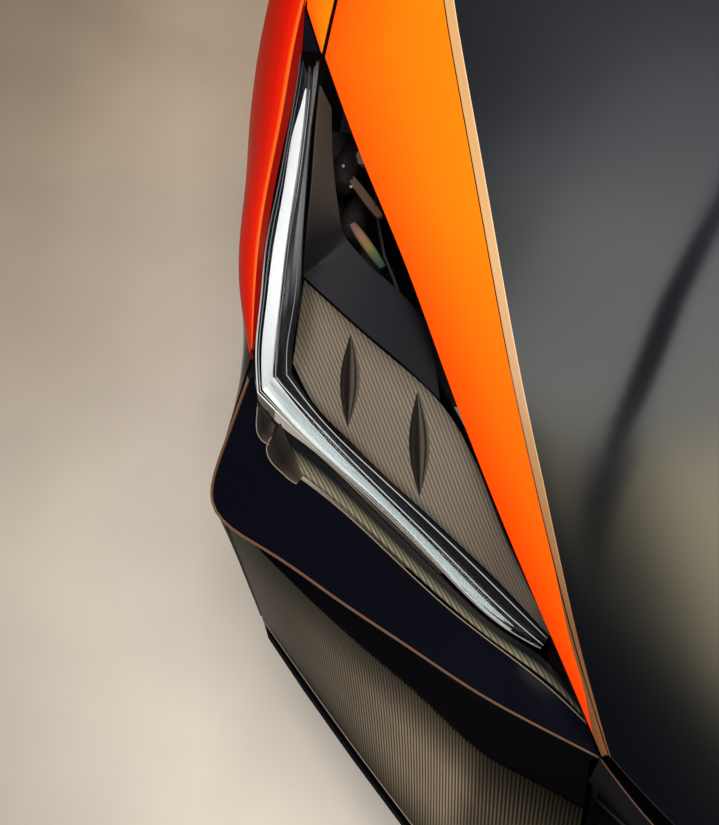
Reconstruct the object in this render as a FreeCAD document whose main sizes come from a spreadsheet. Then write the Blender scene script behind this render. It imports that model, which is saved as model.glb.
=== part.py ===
import FreeCAD, Part
import math
import os
import Sketcher

from FreeCAD import Vector

# The nose section of a two-seat sports car: lid, wings, lamps, bumper, chins,
# splitter and intake, with the structure that carries them to the bulkhead.
# Body lines are (out, back, up): out from the centre plane, back from the nose
# datum and up from the ground, in millimetres on the nominal car.

SIZES = [
    ("body_width", 1992, "across both wings at the doors"),
    ("body_length", 1766, "nose tip to the rear edges of the wings"),
    ("body_rise", 905, "ground to the rear edge of the lid at the centre"),
    ("mount_back", 1200, "nose datum to the mounting face of the bulkhead"),
    ("mount_up", 420, "ground to the middle of the mounting face"),
    ("skin_wall", 3, "thickness of the body panels"),
    ("lid_wall", 3, "thickness of the outer skin of the lid"),
    ("shut_gap", 6, "gap round the lid"),
    ("joint_gap", 0.6, "gap between fixed panels"),
    ("seat", 0.3, "gap where one piece rests on another"),
    ("arch_radius", 372, "wheel arch opening"),
    ("arch_back", 1000, "nose datum to the wheel centre"),
    ("arch_up", 345, "ground to the wheel centre"),
    ("liner_inner", 620, "centre plane to the inner wall of the wheel arch liner"),
    ("top_front", 699, "nose datum to the front tip of the wing's top"),
    ("rail_inner", 360, "centre plane to the inner face of a crash rail"),
    ("rail_width", 70, "crash rail"),
    ("rail_depth", 100, "crash rail"),
    ("rail_up", 330, "ground to the underside of the crash rails"),
    ("rail_front", 170, "nose datum to the front ends of the rails"),
    ("beam_thick", 60, "crash beam, front to back"),
    ("beam_half", 500, "half the length of the crash beam"),
    ("bulkhead_thick", 24, "bulkhead plate"),
    ("bulkhead_half", 590, "half the width of the bulkhead between the wheels"),
    ("shoulder_half", 870, "half the width of the bulkhead above the wheels"),
    ("bulkhead_low", 250, "ground to the lower edge of the bulkhead"),
    ("shoulder_low", 690, "ground to the underside of the bulkhead shoulders"),
    ("bulkhead_top", 770, "ground to the upper edge of the bulkhead"),
    ("bolt_radius", 9, "holes for the bulkhead bolts"),
    ("bolt_span_x", 1000, "bulkhead bolts, across"),
    ("bolt_span_z", 200, "bulkhead bolts, up"),
    ("tub_half", 340, "half the width of the luggage tub"),
    ("tub_front", 340, "nose datum to the front of the tub"),
    ("tub_back", 1120, "nose datum to the back of the tub"),
    ("tub_low", 300, "ground to the floor of the tub"),
    ("tub_rim", 630, "ground to the rim of the tub"),
    ("tub_wall", 4, "luggage tub"),
    ("splitter_thick", 14, "splitter plate"),
    ("splitter_low", 105, "ground to the underside of the splitter"),
    ("splitter_back", 420, "nose datum to the rear edge of the splitter"),
    ("splitter_lip", 12, "how far the splitter stands out past the chins"),
    ("intake_half", 430, "half the width of the centre intake"),
    ("slat_thick", 6, "intake slats"),
    ("slat_depth", 30, "intake slats, front to back"),
    ("slat_pitch", 44, "between intake slats"),
    ("hinge_back", 1232, "nose datum to the hinge axis of the lid"),
    ("hinge_up", 836, "ground to the hinge axis of the lid"),
    ("hinge_out", 520, "centre plane to the middle of each hinge"),
    ("pin_radius", 6, "hinge pins"),
    ("running_gap", 0.05, "between a hinge pin and its knuckle"),
    ("knuckle_radius", 13, "hinge knuckles"),
    ("knuckle_wide", 30, "hinge knuckles, along the axis"),
    ("lens_wall", 2.5, "clear lamp cover"),
    ("guide_depth", 8, "thickness of the light guide"),
    ("lamp_gap", 3, "between the lamp cover and the wing"),
    ("bezel_wall", 2.5, "lamp bezel"),
    ("plate_wall", 2.5, "carbon plates at the lamp"),
    ("fin_rise", 7, "how far the fins stand off the lamp plate"),
    ("fin_wide", 19, "fins on the lamp plate"),
    ("housing_wall", 3, "lamp housing"),
    ("boss_wide", 11, "posts in the lamp housing"),
    ("bracket_out", 628, "centre plane to the outer side of a lamp bracket"),
    ("bracket_thick", 16, "post of a lamp bracket"),
    ("bracket_front", 240, "nose datum to the front of a lamp bracket"),
    ("bracket_deep", 28, "lamp bracket, front to back"),
    ("bracket_tall", 40, "arm of a lamp bracket"),
    ("projector_radius", 18, "projector barrels"),
    ("projector_length", 55, "projector barrels"),
    ("projector_foot", 14, "feet of the projectors"),
    ("radiator_back", 6, "from the back of the crash beam to the radiator"),
    ("radiator_low", 126, "ground to the underside of the radiator"),
    ("radiator_thick", 46, "radiator"),
    ("radiator_over", 70, "how far the radiator stands up between the rails"),
    ("liner_clear", 2, "wheel arch opening to the inside of the liner"),
    ("liner_wall", 3, "wheel arch liner"),
    ("liner_low", 170, "ground to the lower edges of the liner"),
    ("hub_hole", 130, "opening in the liner for the axle"),
    ("stay_back", 90, "from the front of the rails to the splitter stays"),
    ("stay_thick", 8, "splitter stays"),
    ("stay_wide", 40, "splitter stays and nose bar stays"),
    ("bar_stay_out", 260, "centre plane to the far side of a nose bar stay"),
    ("bar_stay_deep", 30, "nose bar stays"),
    ("intake_back", 44, "nose datum to the ends of the intake slats"),
    ("upper_rail_out", 822, "centre plane to the middle of the upper rails"),
    ("upper_rail_wide", 40, "upper rails"),
    ("upper_rail_deep", 34, "upper rails"),
    ("frame_seat", 0.6, "between the lid's skin and its frame"),
    ("frame_deep", 22, "lid frame"),
    ("arm_thick", 14, "hinge arms"),
    ("arm_long", 100, "hinge arms, ahead of the axis"),
    ("arm_drop", 22, "hinge arms, below the axis"),
    ("ear_thick", 7, "ears and base of the hinge brackets"),
    ("ear_clear", 1, "between a knuckle and an ear"),
    ("latch_wide", 70, "latch body, across"),
    ("latch_tall", 70, "latch body"),
    ("latch_wall", 12, "latch body, behind and below its slot"),
    ("latch_clear", 10, "round the striker in its slot"),
    ("striker_wide", 16, "lid striker, across"),
    ("striker_deep", 10, "lid striker, front to back"),
    ("stop_back", 900, "nose datum to the lid stops"),
    ("stop_radius", 9, "lid stops"),
]

doc = FreeCAD.newDocument("nose_section")
sheet = doc.addObject("Spreadsheet::Sheet", "Sizes")
for row, (alias, value, note) in enumerate(SIZES, 1):
    sheet.set("A%d" % row, note)
    sheet.set("B%d" % row, str(value))
    sheet.setAlias("B%d" % row, alias)
doc.recompute()


def size(alias):
    return float(sheet.get(alias))


# the nominal car that the tables of body lines were drawn for
NOMINAL_WIDTH, NOMINAL_LENGTH, NOMINAL_RISE = 1992, 1766, 905
WIDE = size("body_width") / NOMINAL_WIDTH
LONG = size("body_length") / NOMINAL_LENGTH
TALL = size("body_rise") / NOMINAL_RISE
WALL = size("skin_wall")
GAP = size("joint_gap")
SEAT = size("seat")


def place(point):
    # a point of a body line on the right side, in the frame of the part
    out, back, up = point
    return Vector(-out * WIDE, back_at(back), up_at(up))


def back_at(back):
    return (back - size("mount_back")) * LONG


def up_at(up):
    return up * TALL - size("mount_up")


def smooth(line, steps=2):
    # the line's own points with others between them on one smooth curve
    points = [place(point) for point in line]
    curve = Part.BSplineCurve()
    curve.interpolate(points)
    marks = [curve.parameter(point) for point in points]
    result = []
    for first, second in zip(marks, marks[1:]):
        result += [curve.value(first + (second - first) * step / steps) for step in range(steps)]
    return result + [points[-1]]


def rows(*lines, steps=2):
    return [list(row) for row in zip(*[smooth(line, steps) for line in lines])]


def unit(vector):
    return vector * (1 / vector.Length)


def inset(panel_rows, first=0.0, last=0.0, start=0.0, end=0.0):
    # the same rows with the panel's edges drawn in
    moved = []
    for row in panel_rows:
        row = list(row)
        row[0] = row[0] + unit(row[1] - row[0]) * first
        row[-1] = row[-1] + unit(row[-2] - row[-1]) * last
        moved.append(row)
    head = [point + unit(other - point) * start for point, other in zip(moved[0], moved[1])]
    tail = [point + unit(other - point) * end for point, other in zip(moved[-1], moved[-2])]
    return [head] + moved[1:-1] + [tail]


def depth_vectors(panel_rows, face):
    # for each point, the step that goes one millimetre below the panel's surface
    result = []
    last = len(panel_rows) - 1
    for index, row in enumerate(panel_rows):
        before = panel_rows[max(index - 1, 0)]
        after = panel_rows[min(index + 1, last)]
        normals = []
        for spot in range(len(row) - 1):
            along = (after[spot] + after[spot + 1]) - (before[spot] + before[spot + 1])
            normal = unit(along.cross(row[spot + 1] - row[spot]))
            normals.append(normal if normal.dot(face) > 0 else normal * -1)
        steps = []
        for spot in range(len(row)):
            left = normals[max(spot - 1, 0)]
            right = normals[min(spot, len(normals) - 1)]
            steps.append((left + right) * (-1 / (1 + left.dot(right))))
        result.append(steps)
    return result


def triangle(first, second, third):
    return Part.Face(Part.makePolygon([first, second, third, first]))


def quad(first, second, third, fourth):
    # two flat facets, folded along the shorter diagonal
    if (first - third).Length <= (second - fourth).Length:
        return [triangle(first, second, third), triangle(first, third, fourth)]
    return [triangle(second, third, fourth), triangle(second, fourth, first)]


def solid_between(outer, inner):
    # closed solid between two grids of points that match
    faces = []
    high = len(outer) - 1
    wide = len(outer[0]) - 1
    for grid in (outer, inner):
        for i in range(high):
            for j in range(wide):
                faces += quad(grid[i][j], grid[i + 1][j], grid[i + 1][j + 1], grid[i][j + 1])
    for i in range(high):
        for j in (0, wide):
            faces += quad(outer[i][j], outer[i + 1][j], inner[i + 1][j], inner[i][j])
    for j in range(wide):
        for i in (0, high):
            faces += quad(outer[i][j], outer[i][j + 1], inner[i][j + 1], inner[i][j])
    shell = Part.makeShell(faces)
    shell.sewShape()
    solid = Part.makeSolid(shell)
    if solid.Volume < 0:
        solid.reverse()
    return solid


# where a cutter that follows a panel starts, and how far one reaches that passes right through
ABOVE = -60
REACH = 400


def panel(panel_rows, face, top=0.0, bottom=WALL):
    # the layer of a panel between two depths below its surface
    depths = depth_vectors(panel_rows, face)
    outer = [[point + step * top for point, step in zip(row, steps)]
             for row, steps in zip(panel_rows, depths)]
    inner = [[point + step * bottom for point, step in zip(row, steps)]
             for row, steps in zip(panel_rows, depths)]
    return solid_between(outer, inner)


parts = []


def feature(label, shape):
    item = doc.addObject("Part::Feature", label)
    item.Shape = shape
    item.Label = label
    parts.append(item)
    return item


def mirrored(name, right):
    left = doc.addObject("Part::Mirroring", name)
    left.Source = right
    left.Base = Vector(0, 0, 0)
    left.Normal = Vector(1, 0, 0)
    left.Label = name
    return left


def pair(name, shape):
    # a piece on each side, each of them a part
    right = feature(name + "_right", shape)
    parts.append(mirrored(name + "_left", right))


def twins(name, right):
    # a piece and its mirror image as one part
    joined = doc.addObject("Part::Compound", name)
    joined.Links = [right, mirrored(name + "_left", right)]
    joined.Label = name
    parts.append(joined)


def both(shape):
    return Part.makeCompound([shape, shape.mirror(Vector(0, 0, 0), Vector(1, 0, 0))])


def lowest(shape):
    return min(shape.Solids, key=lambda solid: solid.BoundBox.ZMin)


# Lid: sections from the hinge edge to the nose.
SPINE = [(0, 1240, 905), (0, 980, 868), (0, 700, 800), (0, 520, 745), (0, 380, 700),
         (0, 220, 640), (0, 50, 565), (0, -110, 490), (0, -190, 445)]
BLADE_IN = [(700, 1240, 858), (775, 980, 812), (718, 700, 751), (668, 551, 721), (631, 445, 692),
            (583, 310, 656), (517, 156, 590), (452, 29, 519), (426, -14, 492)]
BROW = [(800, 1240, 838), (862, 980, 792), (860, 700, 731), (790, 551, 700), (725, 445, 670),
        (648, 310, 630), (552, 156, 572), (463, 29, 512), (432, -16, 490)]
# crease table, one entry for each section: share of the half width, depth of the valley
CREASE_SHARES = [0.28, 0.36, 0.47, 0.585, 0.68, 0.81, 0.88, 0.88, 0.88]
CREASE_DEPTHS = [3, 5, 6, 6, 5, 4, 1, 0, 0]
BEAM_SHARE = 0.2
CREASE_STEPS = 3
LID_WALL = size("lid_wall")


def with_middles(values):
    result = []
    for first, second in zip(values, values[1:]):
        result += [first, (first + second) / 2]
    return result + [values[-1]]


def lid_shares(crease):
    # from the edge to the spine and out again: rim, outer side of the frame's beam, crease
    beam = crease + min(BEAM_SHARE, 0.6 * (1 - crease))
    rim = 1 - 0.35 * (1 - beam)
    half = [1, rim, beam, crease, crease * 2 / 3, crease / 3]
    return [-share for share in half] + [0] + half[::-1]


def lid_rows():
    # bulged rows across the full width, with a valley along each crease
    result = []
    for spine, edge, crease, depth in zip(smooth(SPINE), smooth(BLADE_IN),
                                          with_middles(CREASE_SHARES), with_middles(CREASE_DEPTHS)):
        bulge = spine - Vector(0, edge.y, edge.z)
        row = []
        for share in lid_shares(crease):
            rise = 1 - share * share
            row.append(Vector(edge.x * -share, edge.y, edge.z) + bulge * rise)
        for column in (CREASE_STEPS, -1 - CREASE_STEPS):
            row[column] = row[column] - unit(bulge) * depth
        result.append(row)
    return result


def lid_grid(depth, side):
    # the lid's surface at a depth, each section kept in its own plane
    full = inset(lid_rows(), side, side)
    middle = len(full[0]) // 2
    spine = [row[middle] for row in full]
    last = len(full) - 1
    grid = []
    for index, row in enumerate(full):
        along = unit(spine[min(index + 1, last)] - spine[max(index - 1, 0)])
        normal = unit(along.cross(Vector(1, 0, 0)))
        if normal.z < 0:
            normal = normal * -1
        across = unit(row[middle] - (row[0] + row[-1]) * 0.5)
        grid.append([point - across * (depth / normal.dot(across)) for point in row])
    return grid


def lid_layer(top, bottom, side=GAP):
    return solid_between(lid_grid(top, side), lid_grid(bottom, side))


feature("bonnet_skin", lid_layer(0, LID_WALL))

BLADE_CROWN = 3
blade = []
for inner, outer in zip(smooth(BLADE_IN), smooth(BROW)):
    crown = (inner + outer) * 0.5 + Vector(0, 0, BLADE_CROWN)
    blade.append([inner, crown, outer])
blade_rows = inset(blade, GAP)
BLADE_FACE = Vector(-0.3, -0.3, 1)
pair("bonnet_blade", panel(blade_rows, BLADE_FACE, 0, LID_WALL))

# Wing: inner edge, crest, shoulder and hem.
WING_IN = [(872, 361, 588), (882, 455, 652), (889, 600, 705), (896, 700, 731),
           (905, 1000, 786), (910, 1300, 787), (905, 1560, 772)]
WING_CREST = [(878, 361, 579), (890, 455, 655), (898, 600, 709), (906, 700, 736),
              (918, 1000, 785), (920, 1300, 785), (915, 1560, 770)]
WING_SIDE = [(881, 361, 567), (916, 455, 600), (934, 600, 650), (946, 700, 680),
             (972, 1000, 730), (975, 1300, 720), (970, 1560, 690)]
WING_HEM = [(880, 361, 557), (915, 455, 560), (948, 600, 545), (966, 700, 510),
            (990, 1000, 480), (986, 1300, 300), (975, 1560, 180)]


def arch_cylinder(radius, inner, outer):
    # solid round the axis of the right wheel, between two distances from the centre plane
    start = Vector(-outer, back_at(size("arch_back")), up_at(size("arch_up")))
    return Part.makeCylinder(radius, outer - inner, start, Vector(1, 0, 0))


ARCH_CUT = arch_cylinder(size("arch_radius"), size("liner_inner"), size("body_width"))
SIDE_FACE = Vector(-1, 0, 0.4)
SIDE_FRONT = Vector(-1, -0.3, 0)
wing_rows = rows(WING_IN, WING_CREST, WING_SIDE, WING_HEM)
pair("wing", panel(wing_rows, SIDE_FACE).cut(ARCH_CUT))

# Top of the wing between the lid and the seam along the wing's inner edge.
lid_edge = [point for point in smooth(BROW) if point.y > back_at(size("top_front"))]
seam_curve = Part.BSplineCurve()
seam_curve.interpolate([place(point) for point in WING_IN])
HALVINGS = 60


def at_back(curve, back):
    # the point of a curve in a plane across the car
    low, high = curve.FirstParameter, curve.LastParameter
    for _ in range(HALVINGS):
        middle = (low + high) / 2
        if curve.value(middle).y < back:
            low = middle
        else:
            high = middle
    return curve.value(low)


top_rows = [[edge, at_back(seam_curve, edge.y)] for edge in lid_edge]
top_rows = inset(top_rows, size("shut_gap"), GAP)
pair("wing_top", panel(top_rows, Vector(0, 0, 1)))

# Bumper side, from the lip round to the wheel arch; columns run down from the wing.
CHIN_FOOT = size("splitter_low") + size("splitter_thick") / TALL
SIDE_ROWS = [
    [(900, 291, 480), (906, 250, 428), (894, 275, 308), (874, 302, CHIN_FOOT)],
    [(904, 428, 484), (911, 402, 414), (914, 410, 290), (900, 420, CHIN_FOOT)],
    [(955, 590, 470), (954, 580, 404), (948, 588, 280), (934, 600, CHIN_FOOT + 6)],
    [(972, 690, 446), (972, 680, 384), (966, 690, 260), (950, 700, CHIN_FOOT + 12)],
]
hem = smooth(WING_HEM)[:2 * len(SIDE_ROWS) - 1]
side_rows = [[top] + row for top, row in zip(hem, rows(*zip(*SIDE_ROWS)))]
pair("bumper_side", panel(inset(side_rows, GAP, GAP, WALL), SIDE_FRONT).cut(ARCH_CUT))

# Bumper corner: the gloss band between the lamp sill and the lip.
CORNER_TOP = [(874, 348, 548), (858, 310, 522), (840, 281, 505), (791, 249, 498),
              (698, 190, 490), (610, 129, 482), (542, 80, 477), (494, 55, 474), (452, 26, 478)]
LIP = [(879, 344, 546), (899, 289, 478), (904, 250, 430), (829, 204, 430),
       (735, 144, 438), (642, 92, 448), (563, 51, 458), (497, 21, 468), (434, -6, 476)]
corner_rows = rows(CORNER_TOP, LIP, steps=1)
pair("bumper_corner", panel(inset(corner_rows, GAP, GAP, 4 * GAP), Vector(-0.5, -0.7, 1)))

# Undercut below the lip, down to the top of the chin.
UNDER_LIP = [(904, 250, 430), (829, 204, 430), (735, 144, 438), (642, 92, 448), (563, 51, 458),
             (497, 21, 468), (434, -6, 476)]
RECESS = [(898, 261, 420), (806, 250, 372), (712, 192, 374), (625, 134, 376), (560, 92, 380),
          (500, 62, 384), (440, 34, 388)]
CHIN_TOP = [(901, 259, 410), (793, 230, 305), (706, 171, 302), (620, 115, 300), (558, 73, 298),
            (498, 51, 296), (436, 29, 295)]
CHIN_LOW = [(871, 300, CHIN_FOOT), (790, 216, CHIN_FOOT), (712, 137, CHIN_FOOT),
            (636, 63, CHIN_FOOT), (580, 10, CHIN_FOOT), (520, -42, CHIN_FOOT),
            (436, -100, CHIN_FOOT)]
under_rows = rows(UNDER_LIP, RECESS, CHIN_TOP, steps=1)
FRONT_FACE = Vector(-0.5, -1, 0)
UNDER_START = 6
pair("bumper_undercut", panel(inset(under_rows, WALL + 2, GAP, UNDER_START), FRONT_FACE))
chin_rows = rows(CHIN_TOP, CHIN_LOW, steps=1)
pair("carbon_chin", panel(inset(chin_rows, 4 * GAP, 4 * GAP, UNDER_START), FRONT_FACE))

# Nose bar across the centre, above the intake.
BAR_TOP = [(434, -6, 476), (372, -60, 460), (250, -132, 446), (120, -187, 436), (0, -207, 432)]
BAR_MIDDLE = [(438, 4, 420), (374, -60, 412), (250, -134, 402), (120, -190, 394), (0, -211, 391)]
BAR_LOW = [(440, 26, 364), (372, -30, 361), (250, -100, 357), (120, -152, 352), (0, -172, 350)]


def across(line):
    return line + [(-out, back, up) for out, back, up in reversed(line[:-1])]


bar_rows = rows(across(BAR_TOP), across(BAR_MIDDLE), across(BAR_LOW), steps=1)
BAR_FACE = Vector(0, -1, 0)
feature("nose_bar", panel(inset(bar_rows, size("shut_gap"), 0, 2, 2), BAR_FACE))


# Lamp: a strip of four lines, the cover's rim, both edges of the light guide and
# the bezel's inner edge, from the upper tip round the corner to the nose tip.
LAMP_RIM = [(898, 696, 731), (893, 661, 722), (889, 587, 702), (885, 515, 678), (883, 449, 652),
            (876, 393, 622), (873, 353, 585), (865, 322, 546), (821, 296, 530), (731, 240, 518),
            (631, 172, 506), (547, 105, 496), (514, 82, 491)]
GUIDE_OUT = [(885, 672, 728), (881, 636, 722), (880, 590, 704), (874, 512, 680), (870, 444, 655),
             (865, 386, 626), (863, 349, 591), (857, 324, 554), (813, 302, 539), (724, 245, 527),
             (626, 176, 514), (543, 109, 502), (511, 88, 494)]
GUIDE_IN = [(882, 675, 729), (875, 639, 724), (869, 592, 707), (860, 510, 684), (854, 443, 659),
            (848, 384, 631), (846, 346, 598), (845, 333, 566), (804, 316, 546), (719, 252, 533),
            (620, 183, 520), (539, 114, 507), (508, 93, 497)]
BEZEL_IN = [(871, 684, 734), (865, 644, 729), (860, 592, 712), (848, 512, 688), (837, 444, 662),
            (828, 387, 636), (831, 343, 604), (828, 337, 577), (797, 324, 553), (713, 257, 541),
            (613, 188, 528), (534, 119, 514), (503, 100, 502)]
LAMP_FACE = Vector(-0.3, -0.4, 1)
LENS_WALL = size("lens_wall")
GUIDE_TOP = LENS_WALL + 1.5
GUIDE_FOOT = GUIDE_TOP + size("guide_depth")
BEZEL_WALL = size("bezel_wall")

lamp_rows = rows(LAMP_RIM, GUIDE_OUT, GUIDE_IN, BEZEL_IN, steps=1)
lamp_rows = inset(lamp_rows, size("lamp_gap"), 0, 4, 0)
lamp_depths = depth_vectors(lamp_rows, LAMP_FACE)


def sunk(index, column, depth, toward=0.0):
    # a point of the lamp strip at a depth, moved towards the next line inboard
    row = lamp_rows[index]
    step = unit(row[min(column + 1, 3)] - row[column]) if column < 3 else unit(row[3] - row[2])
    return row[column] + lamp_depths[index][column] * depth + step * toward


SPOTS = range(len(lamp_rows))
lens_grid = [[sunk(i, 0, 0), sunk(i, 1, 0), sunk(i, 2, 0), sunk(i, 2, 0, 2)] for i in SPOTS]
lens_floor = [[sunk(i, 0, LENS_WALL), sunk(i, 1, LENS_WALL), sunk(i, 2, LENS_WALL),
               sunk(i, 2, LENS_WALL, 2)] for i in SPOTS]
guide_grid = [[sunk(i, 1, GUIDE_TOP, 0.5), sunk(i, 2, GUIDE_TOP, -0.5)] for i in SPOTS]
guide_floor = [[sunk(i, 1, GUIDE_FOOT), sunk(i, 2, GUIDE_FOOT)] for i in SPOTS]
bezel_top = GUIDE_FOOT + 2 * SEAT
bezel_foot = bezel_top + BEZEL_WALL
rim_depth = LENS_WALL + 2 * SEAT
bezel_grid = [[sunk(i, 0, rim_depth, BEZEL_WALL), sunk(i, 0, bezel_top, BEZEL_WALL),
               sunk(i, 1, bezel_top), sunk(i, 2, bezel_top, 1), sunk(i, 3, 0)] for i in SPOTS]
bezel_floor = [[sunk(i, 0, rim_depth), sunk(i, 0, bezel_foot), sunk(i, 1, bezel_foot),
                sunk(i, 2, bezel_foot, 1), sunk(i, 3, BEZEL_WALL)] for i in SPOTS]

pair("lamp_lens", solid_between(lens_grid, lens_floor))
feature("light_guides", both(solid_between(guide_grid, guide_floor)))
pair("lamp_bezel", solid_between(bezel_grid, bezel_floor))

# Carbon plate inside the lamp, with two leaf-shaped fins.
PLATE_LOW = [(828, 345, 583), (797, 326, 557), (755, 290, 548), (713, 259, 543), (663, 223, 536),
             (613, 190, 530), (573, 154, 523), (534, 121, 516), (500, 96, 507)]
PLATE_HIGH = [(834, 429, 632), (785, 392, 628), (745, 364, 623), (708, 340, 618), (655, 302, 609),
              (600, 235, 588), (560, 172, 564), (525, 125, 543), (494, 90, 520)]
plate_rows = inset(rows(PLATE_LOW, PLATE_HIGH, steps=1), 1, 1.4, 2, 2)
plate = panel(plate_rows, LAMP_FACE, 0, size("plate_wall"))
# fin table: station along the plate and share of its height, for each end
FINS = [((1.97, 0.1), (1.5, 0.9)), ((3.94, 0.1), (3.53, 0.9))]
FIN_STEPS = 6
FIN_ROOT = 2


def on_plate(station, share):
    index = int(station)
    ends = [first + (second - first) * (station - index)
            for first, second in zip(plate_rows[index], plate_rows[index + 1])]
    return ends[0] + (ends[1] - ends[0]) * share


def leaf(low_end, high_end):
    # a slim ridge with pointed ends, let into the plate
    low, high = on_plate(*low_end), on_plate(*high_end)
    along = plate_rows[int(low_end[0]) + 1][0] - plate_rows[int(low_end[0])][0]
    proud = unit(along.cross(high - low))
    if proud.z < 0:
        proud = proud * -1
    half = unit(proud.cross(high - low)) * (size("fin_wide") / 2)
    ridge = []
    base = []
    for step in range(FIN_STEPS + 1):
        share = step / FIN_STEPS
        swell = 0.05 + math.sin(math.pi * share)
        spine = low + (high - low) * share
        ridge.append([spine - half * swell, spine + proud * (size("fin_rise") * swell),
                      spine + half * swell])
        base.append([point - proud * FIN_ROOT for point in (ridge[-1][0], spine, ridge[-1][2])])
    return solid_between(ridge, base)


pair("lamp_plate", plate.multiFuse([leaf(*fin) for fin in FINS]))

# Satin shroud round the pocket: columns are the lower and the upper border.
SHROUD = [((862, 646, 726), (846, 635, 702)), ((855, 592, 709), (834, 584, 685)),
          ((843, 512, 685), (810, 512, 652)), ((836, 450, 656), (803, 498, 643)),
          ((834, 429, 632), (795, 488, 639)), ((785, 392, 628), (764, 459, 636)),
          ((745, 364, 623), (738, 440, 633)), ((708, 340, 618), (713, 420, 630)),
          ((655, 302, 609), (679, 386, 625))]
shroud_rows = rows(*zip(*SHROUD), steps=1)
pair("lamp_shroud", panel(inset(shroud_rows, 1, 0, 0, 0), LAMP_FACE))

# Carbon sill under the lamp, slightly hollow.
SILL_HIGH = [(864, 318, 540), (838, 300, 531), (800, 280, 525), (731, 237, 516), (631, 169, 504),
             (547, 102, 494), (508, 81, 490), (462, 42, 488)]
SILL_LOW = [(858, 312, 524), (838, 283, 507), (791, 251, 500), (698, 192, 492), (610, 131, 484),
            (542, 82, 479), (494, 57, 476), (455, 30, 480)]
SILL_DIP = 4
sill = []
for high, low in rows(SILL_HIGH, SILL_LOW, steps=1):
    sill.append([high, (high + low) * 0.5 - Vector(0, 0, SILL_DIP), low])
pair("lamp_sill", panel(inset(sill, 1.5, 1, 1, 1), Vector(-0.4, -0.7, 1), 0, size("plate_wall")))

# Lamp housing: a tray under the strip, with four lines along it.
TRAY = [((880, 652, 714), (868, 652, 650), (796, 652, 650), (802, 652, 690)),
        ((873, 587, 692), (862, 587, 612), (776, 587, 612), (786, 587, 672)),
        ((866, 515, 666), (856, 515, 572), (757, 515, 572), (766, 515, 655)),
        ((862, 449, 638), (852, 449, 540), (740, 462, 540), (748, 468, 645)),
        ((856, 400, 610), (846, 402, 514), (722, 430, 514), (734, 446, 638)),
        ((848, 360, 572), (832, 368, 488), (706, 398, 488), (716, 420, 618)),
        ((800, 330, 540), (786, 345, 466), (684, 364, 466), (694, 384, 604)),
        ((720, 276, 528), (708, 290, 456), (640, 312, 456), (650, 326, 590)),
        ((626, 212, 518), (616, 224, 452), (590, 246, 452), (596, 256, 570)),
        ((566, 164, 510), (558, 172, 452), (550, 184, 452), (556, 196, 552))]
tray_rows = rows(*zip(*TRAY), steps=1)
# boss table: out and back of the posts that carry the plate and the shroud
BOSSES = [(770, 362), (650, 270), (830, 512)]


def tray_solid():
    # outer wall, floor and inner wall of one thickness
    wall = size("housing_wall")
    grid = []
    for row in tray_rows:
        into = unit(row[3] - row[0])
        grid.append([row[0] + into * wall, row[1] + into * wall + Vector(0, 0, wall),
                     row[2] - into * wall + Vector(0, 0, wall), row[3] - into * wall])
    return solid_between(tray_rows, grid)


def tray_block():
    # everything under the floor of the tray, out to one seat above it
    top = [[row[1] + Vector(0, 0, size("housing_wall") + SEAT),
            row[2] + Vector(0, 0, size("housing_wall") + SEAT)] for row in tray_rows]
    low = [[point - Vector(0, 0, REACH) for point in row] for row in top]
    return solid_between(top, low)


def floor_block():
    # everything over the underside of the tray, down to one seat below it
    low = [[row[1] - Vector(0, 0, SEAT), row[2] - Vector(0, 0, SEAT)] for row in tray_rows]
    top = [[point - Vector(0, 0, ABOVE) for point in row] for row in low]
    return solid_between(top, low)


def boss(out, back):
    middle = place((out, back, 0))
    wide = size("boss_wide")
    corner = Vector(middle.x - wide / 2, middle.y - wide / 2, 0)
    column = Part.makeBox(wide, wide, REACH, corner)
    column = column.cut(panel(plate_rows, LAMP_FACE, ABOVE, size("plate_wall") + SEAT))
    column = column.cut(panel(shroud_rows, LAMP_FACE, ABOVE, WALL + SEAT))
    column = lowest(column)
    tray_foot = [[row[1], row[2]] for row in tray_rows]
    lower = [[point - Vector(0, 0, REACH) for point in row] for row in tray_foot]
    return column.cut(solid_between(tray_foot, lower))


over_bezel = solid_between([[sunk(i, column, ABOVE) for column in (0, 1, 2, 3)] for i in SPOTS],
                           [[sunk(i, 0, bezel_foot + SEAT), sunk(i, 1, bezel_foot + SEAT),
                             sunk(i, 2, bezel_foot + SEAT), sunk(i, 3, bezel_foot + SEAT)]
                            for i in SPOTS])
housing = tray_solid().multiFuse([boss(*spot) for spot in BOSSES]).cut(over_bezel)
pair("lamp_housing", max(housing.Solids, key=lambda solid: solid.Volume))

# Twin projectors in the pocket, on feet that stand on the floor of the tray.
# projector table: centre of the lens
PROJECTORS = [(820, 566, 650), (800, 508, 622)]
# profile table: share of the length, share of the radius
PROJECTOR_PROFILE = [(-0.16, 0), (-0.12, 0.6), (0, 1), (0.5, 1), (1, 0.7), (1, 0)]


def projector(centre):
    front = place(centre)
    long = size("projector_length")
    radius = size("projector_radius")
    line = [front + Vector(0, long * share, radius * wide) for share, wide in PROJECTOR_PROFILE]
    turned = Part.Face(Part.makePolygon(line + line[:1])).revolve(front, Vector(0, 1, 0), 360)
    foot_half = size("projector_foot") / 2
    foot = Part.makeBox(2 * foot_half, 2 * foot_half, REACH,
                        front + Vector(-foot_half, long / 2 - foot_half, -REACH))
    return Part.makeSolid(turned.Shells[0]).fuse(foot.cut(tray_block()))


feature("lamp_projectors", both(Part.makeCompound([projector(spot) for spot in PROJECTORS])))


def under(shape, skin_rows, face, wall=WALL):
    # trims a bracket so that it stops one seat below a panel
    return shape.cut(panel(skin_rows, face, ABOVE, wall + SEAT))


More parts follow.
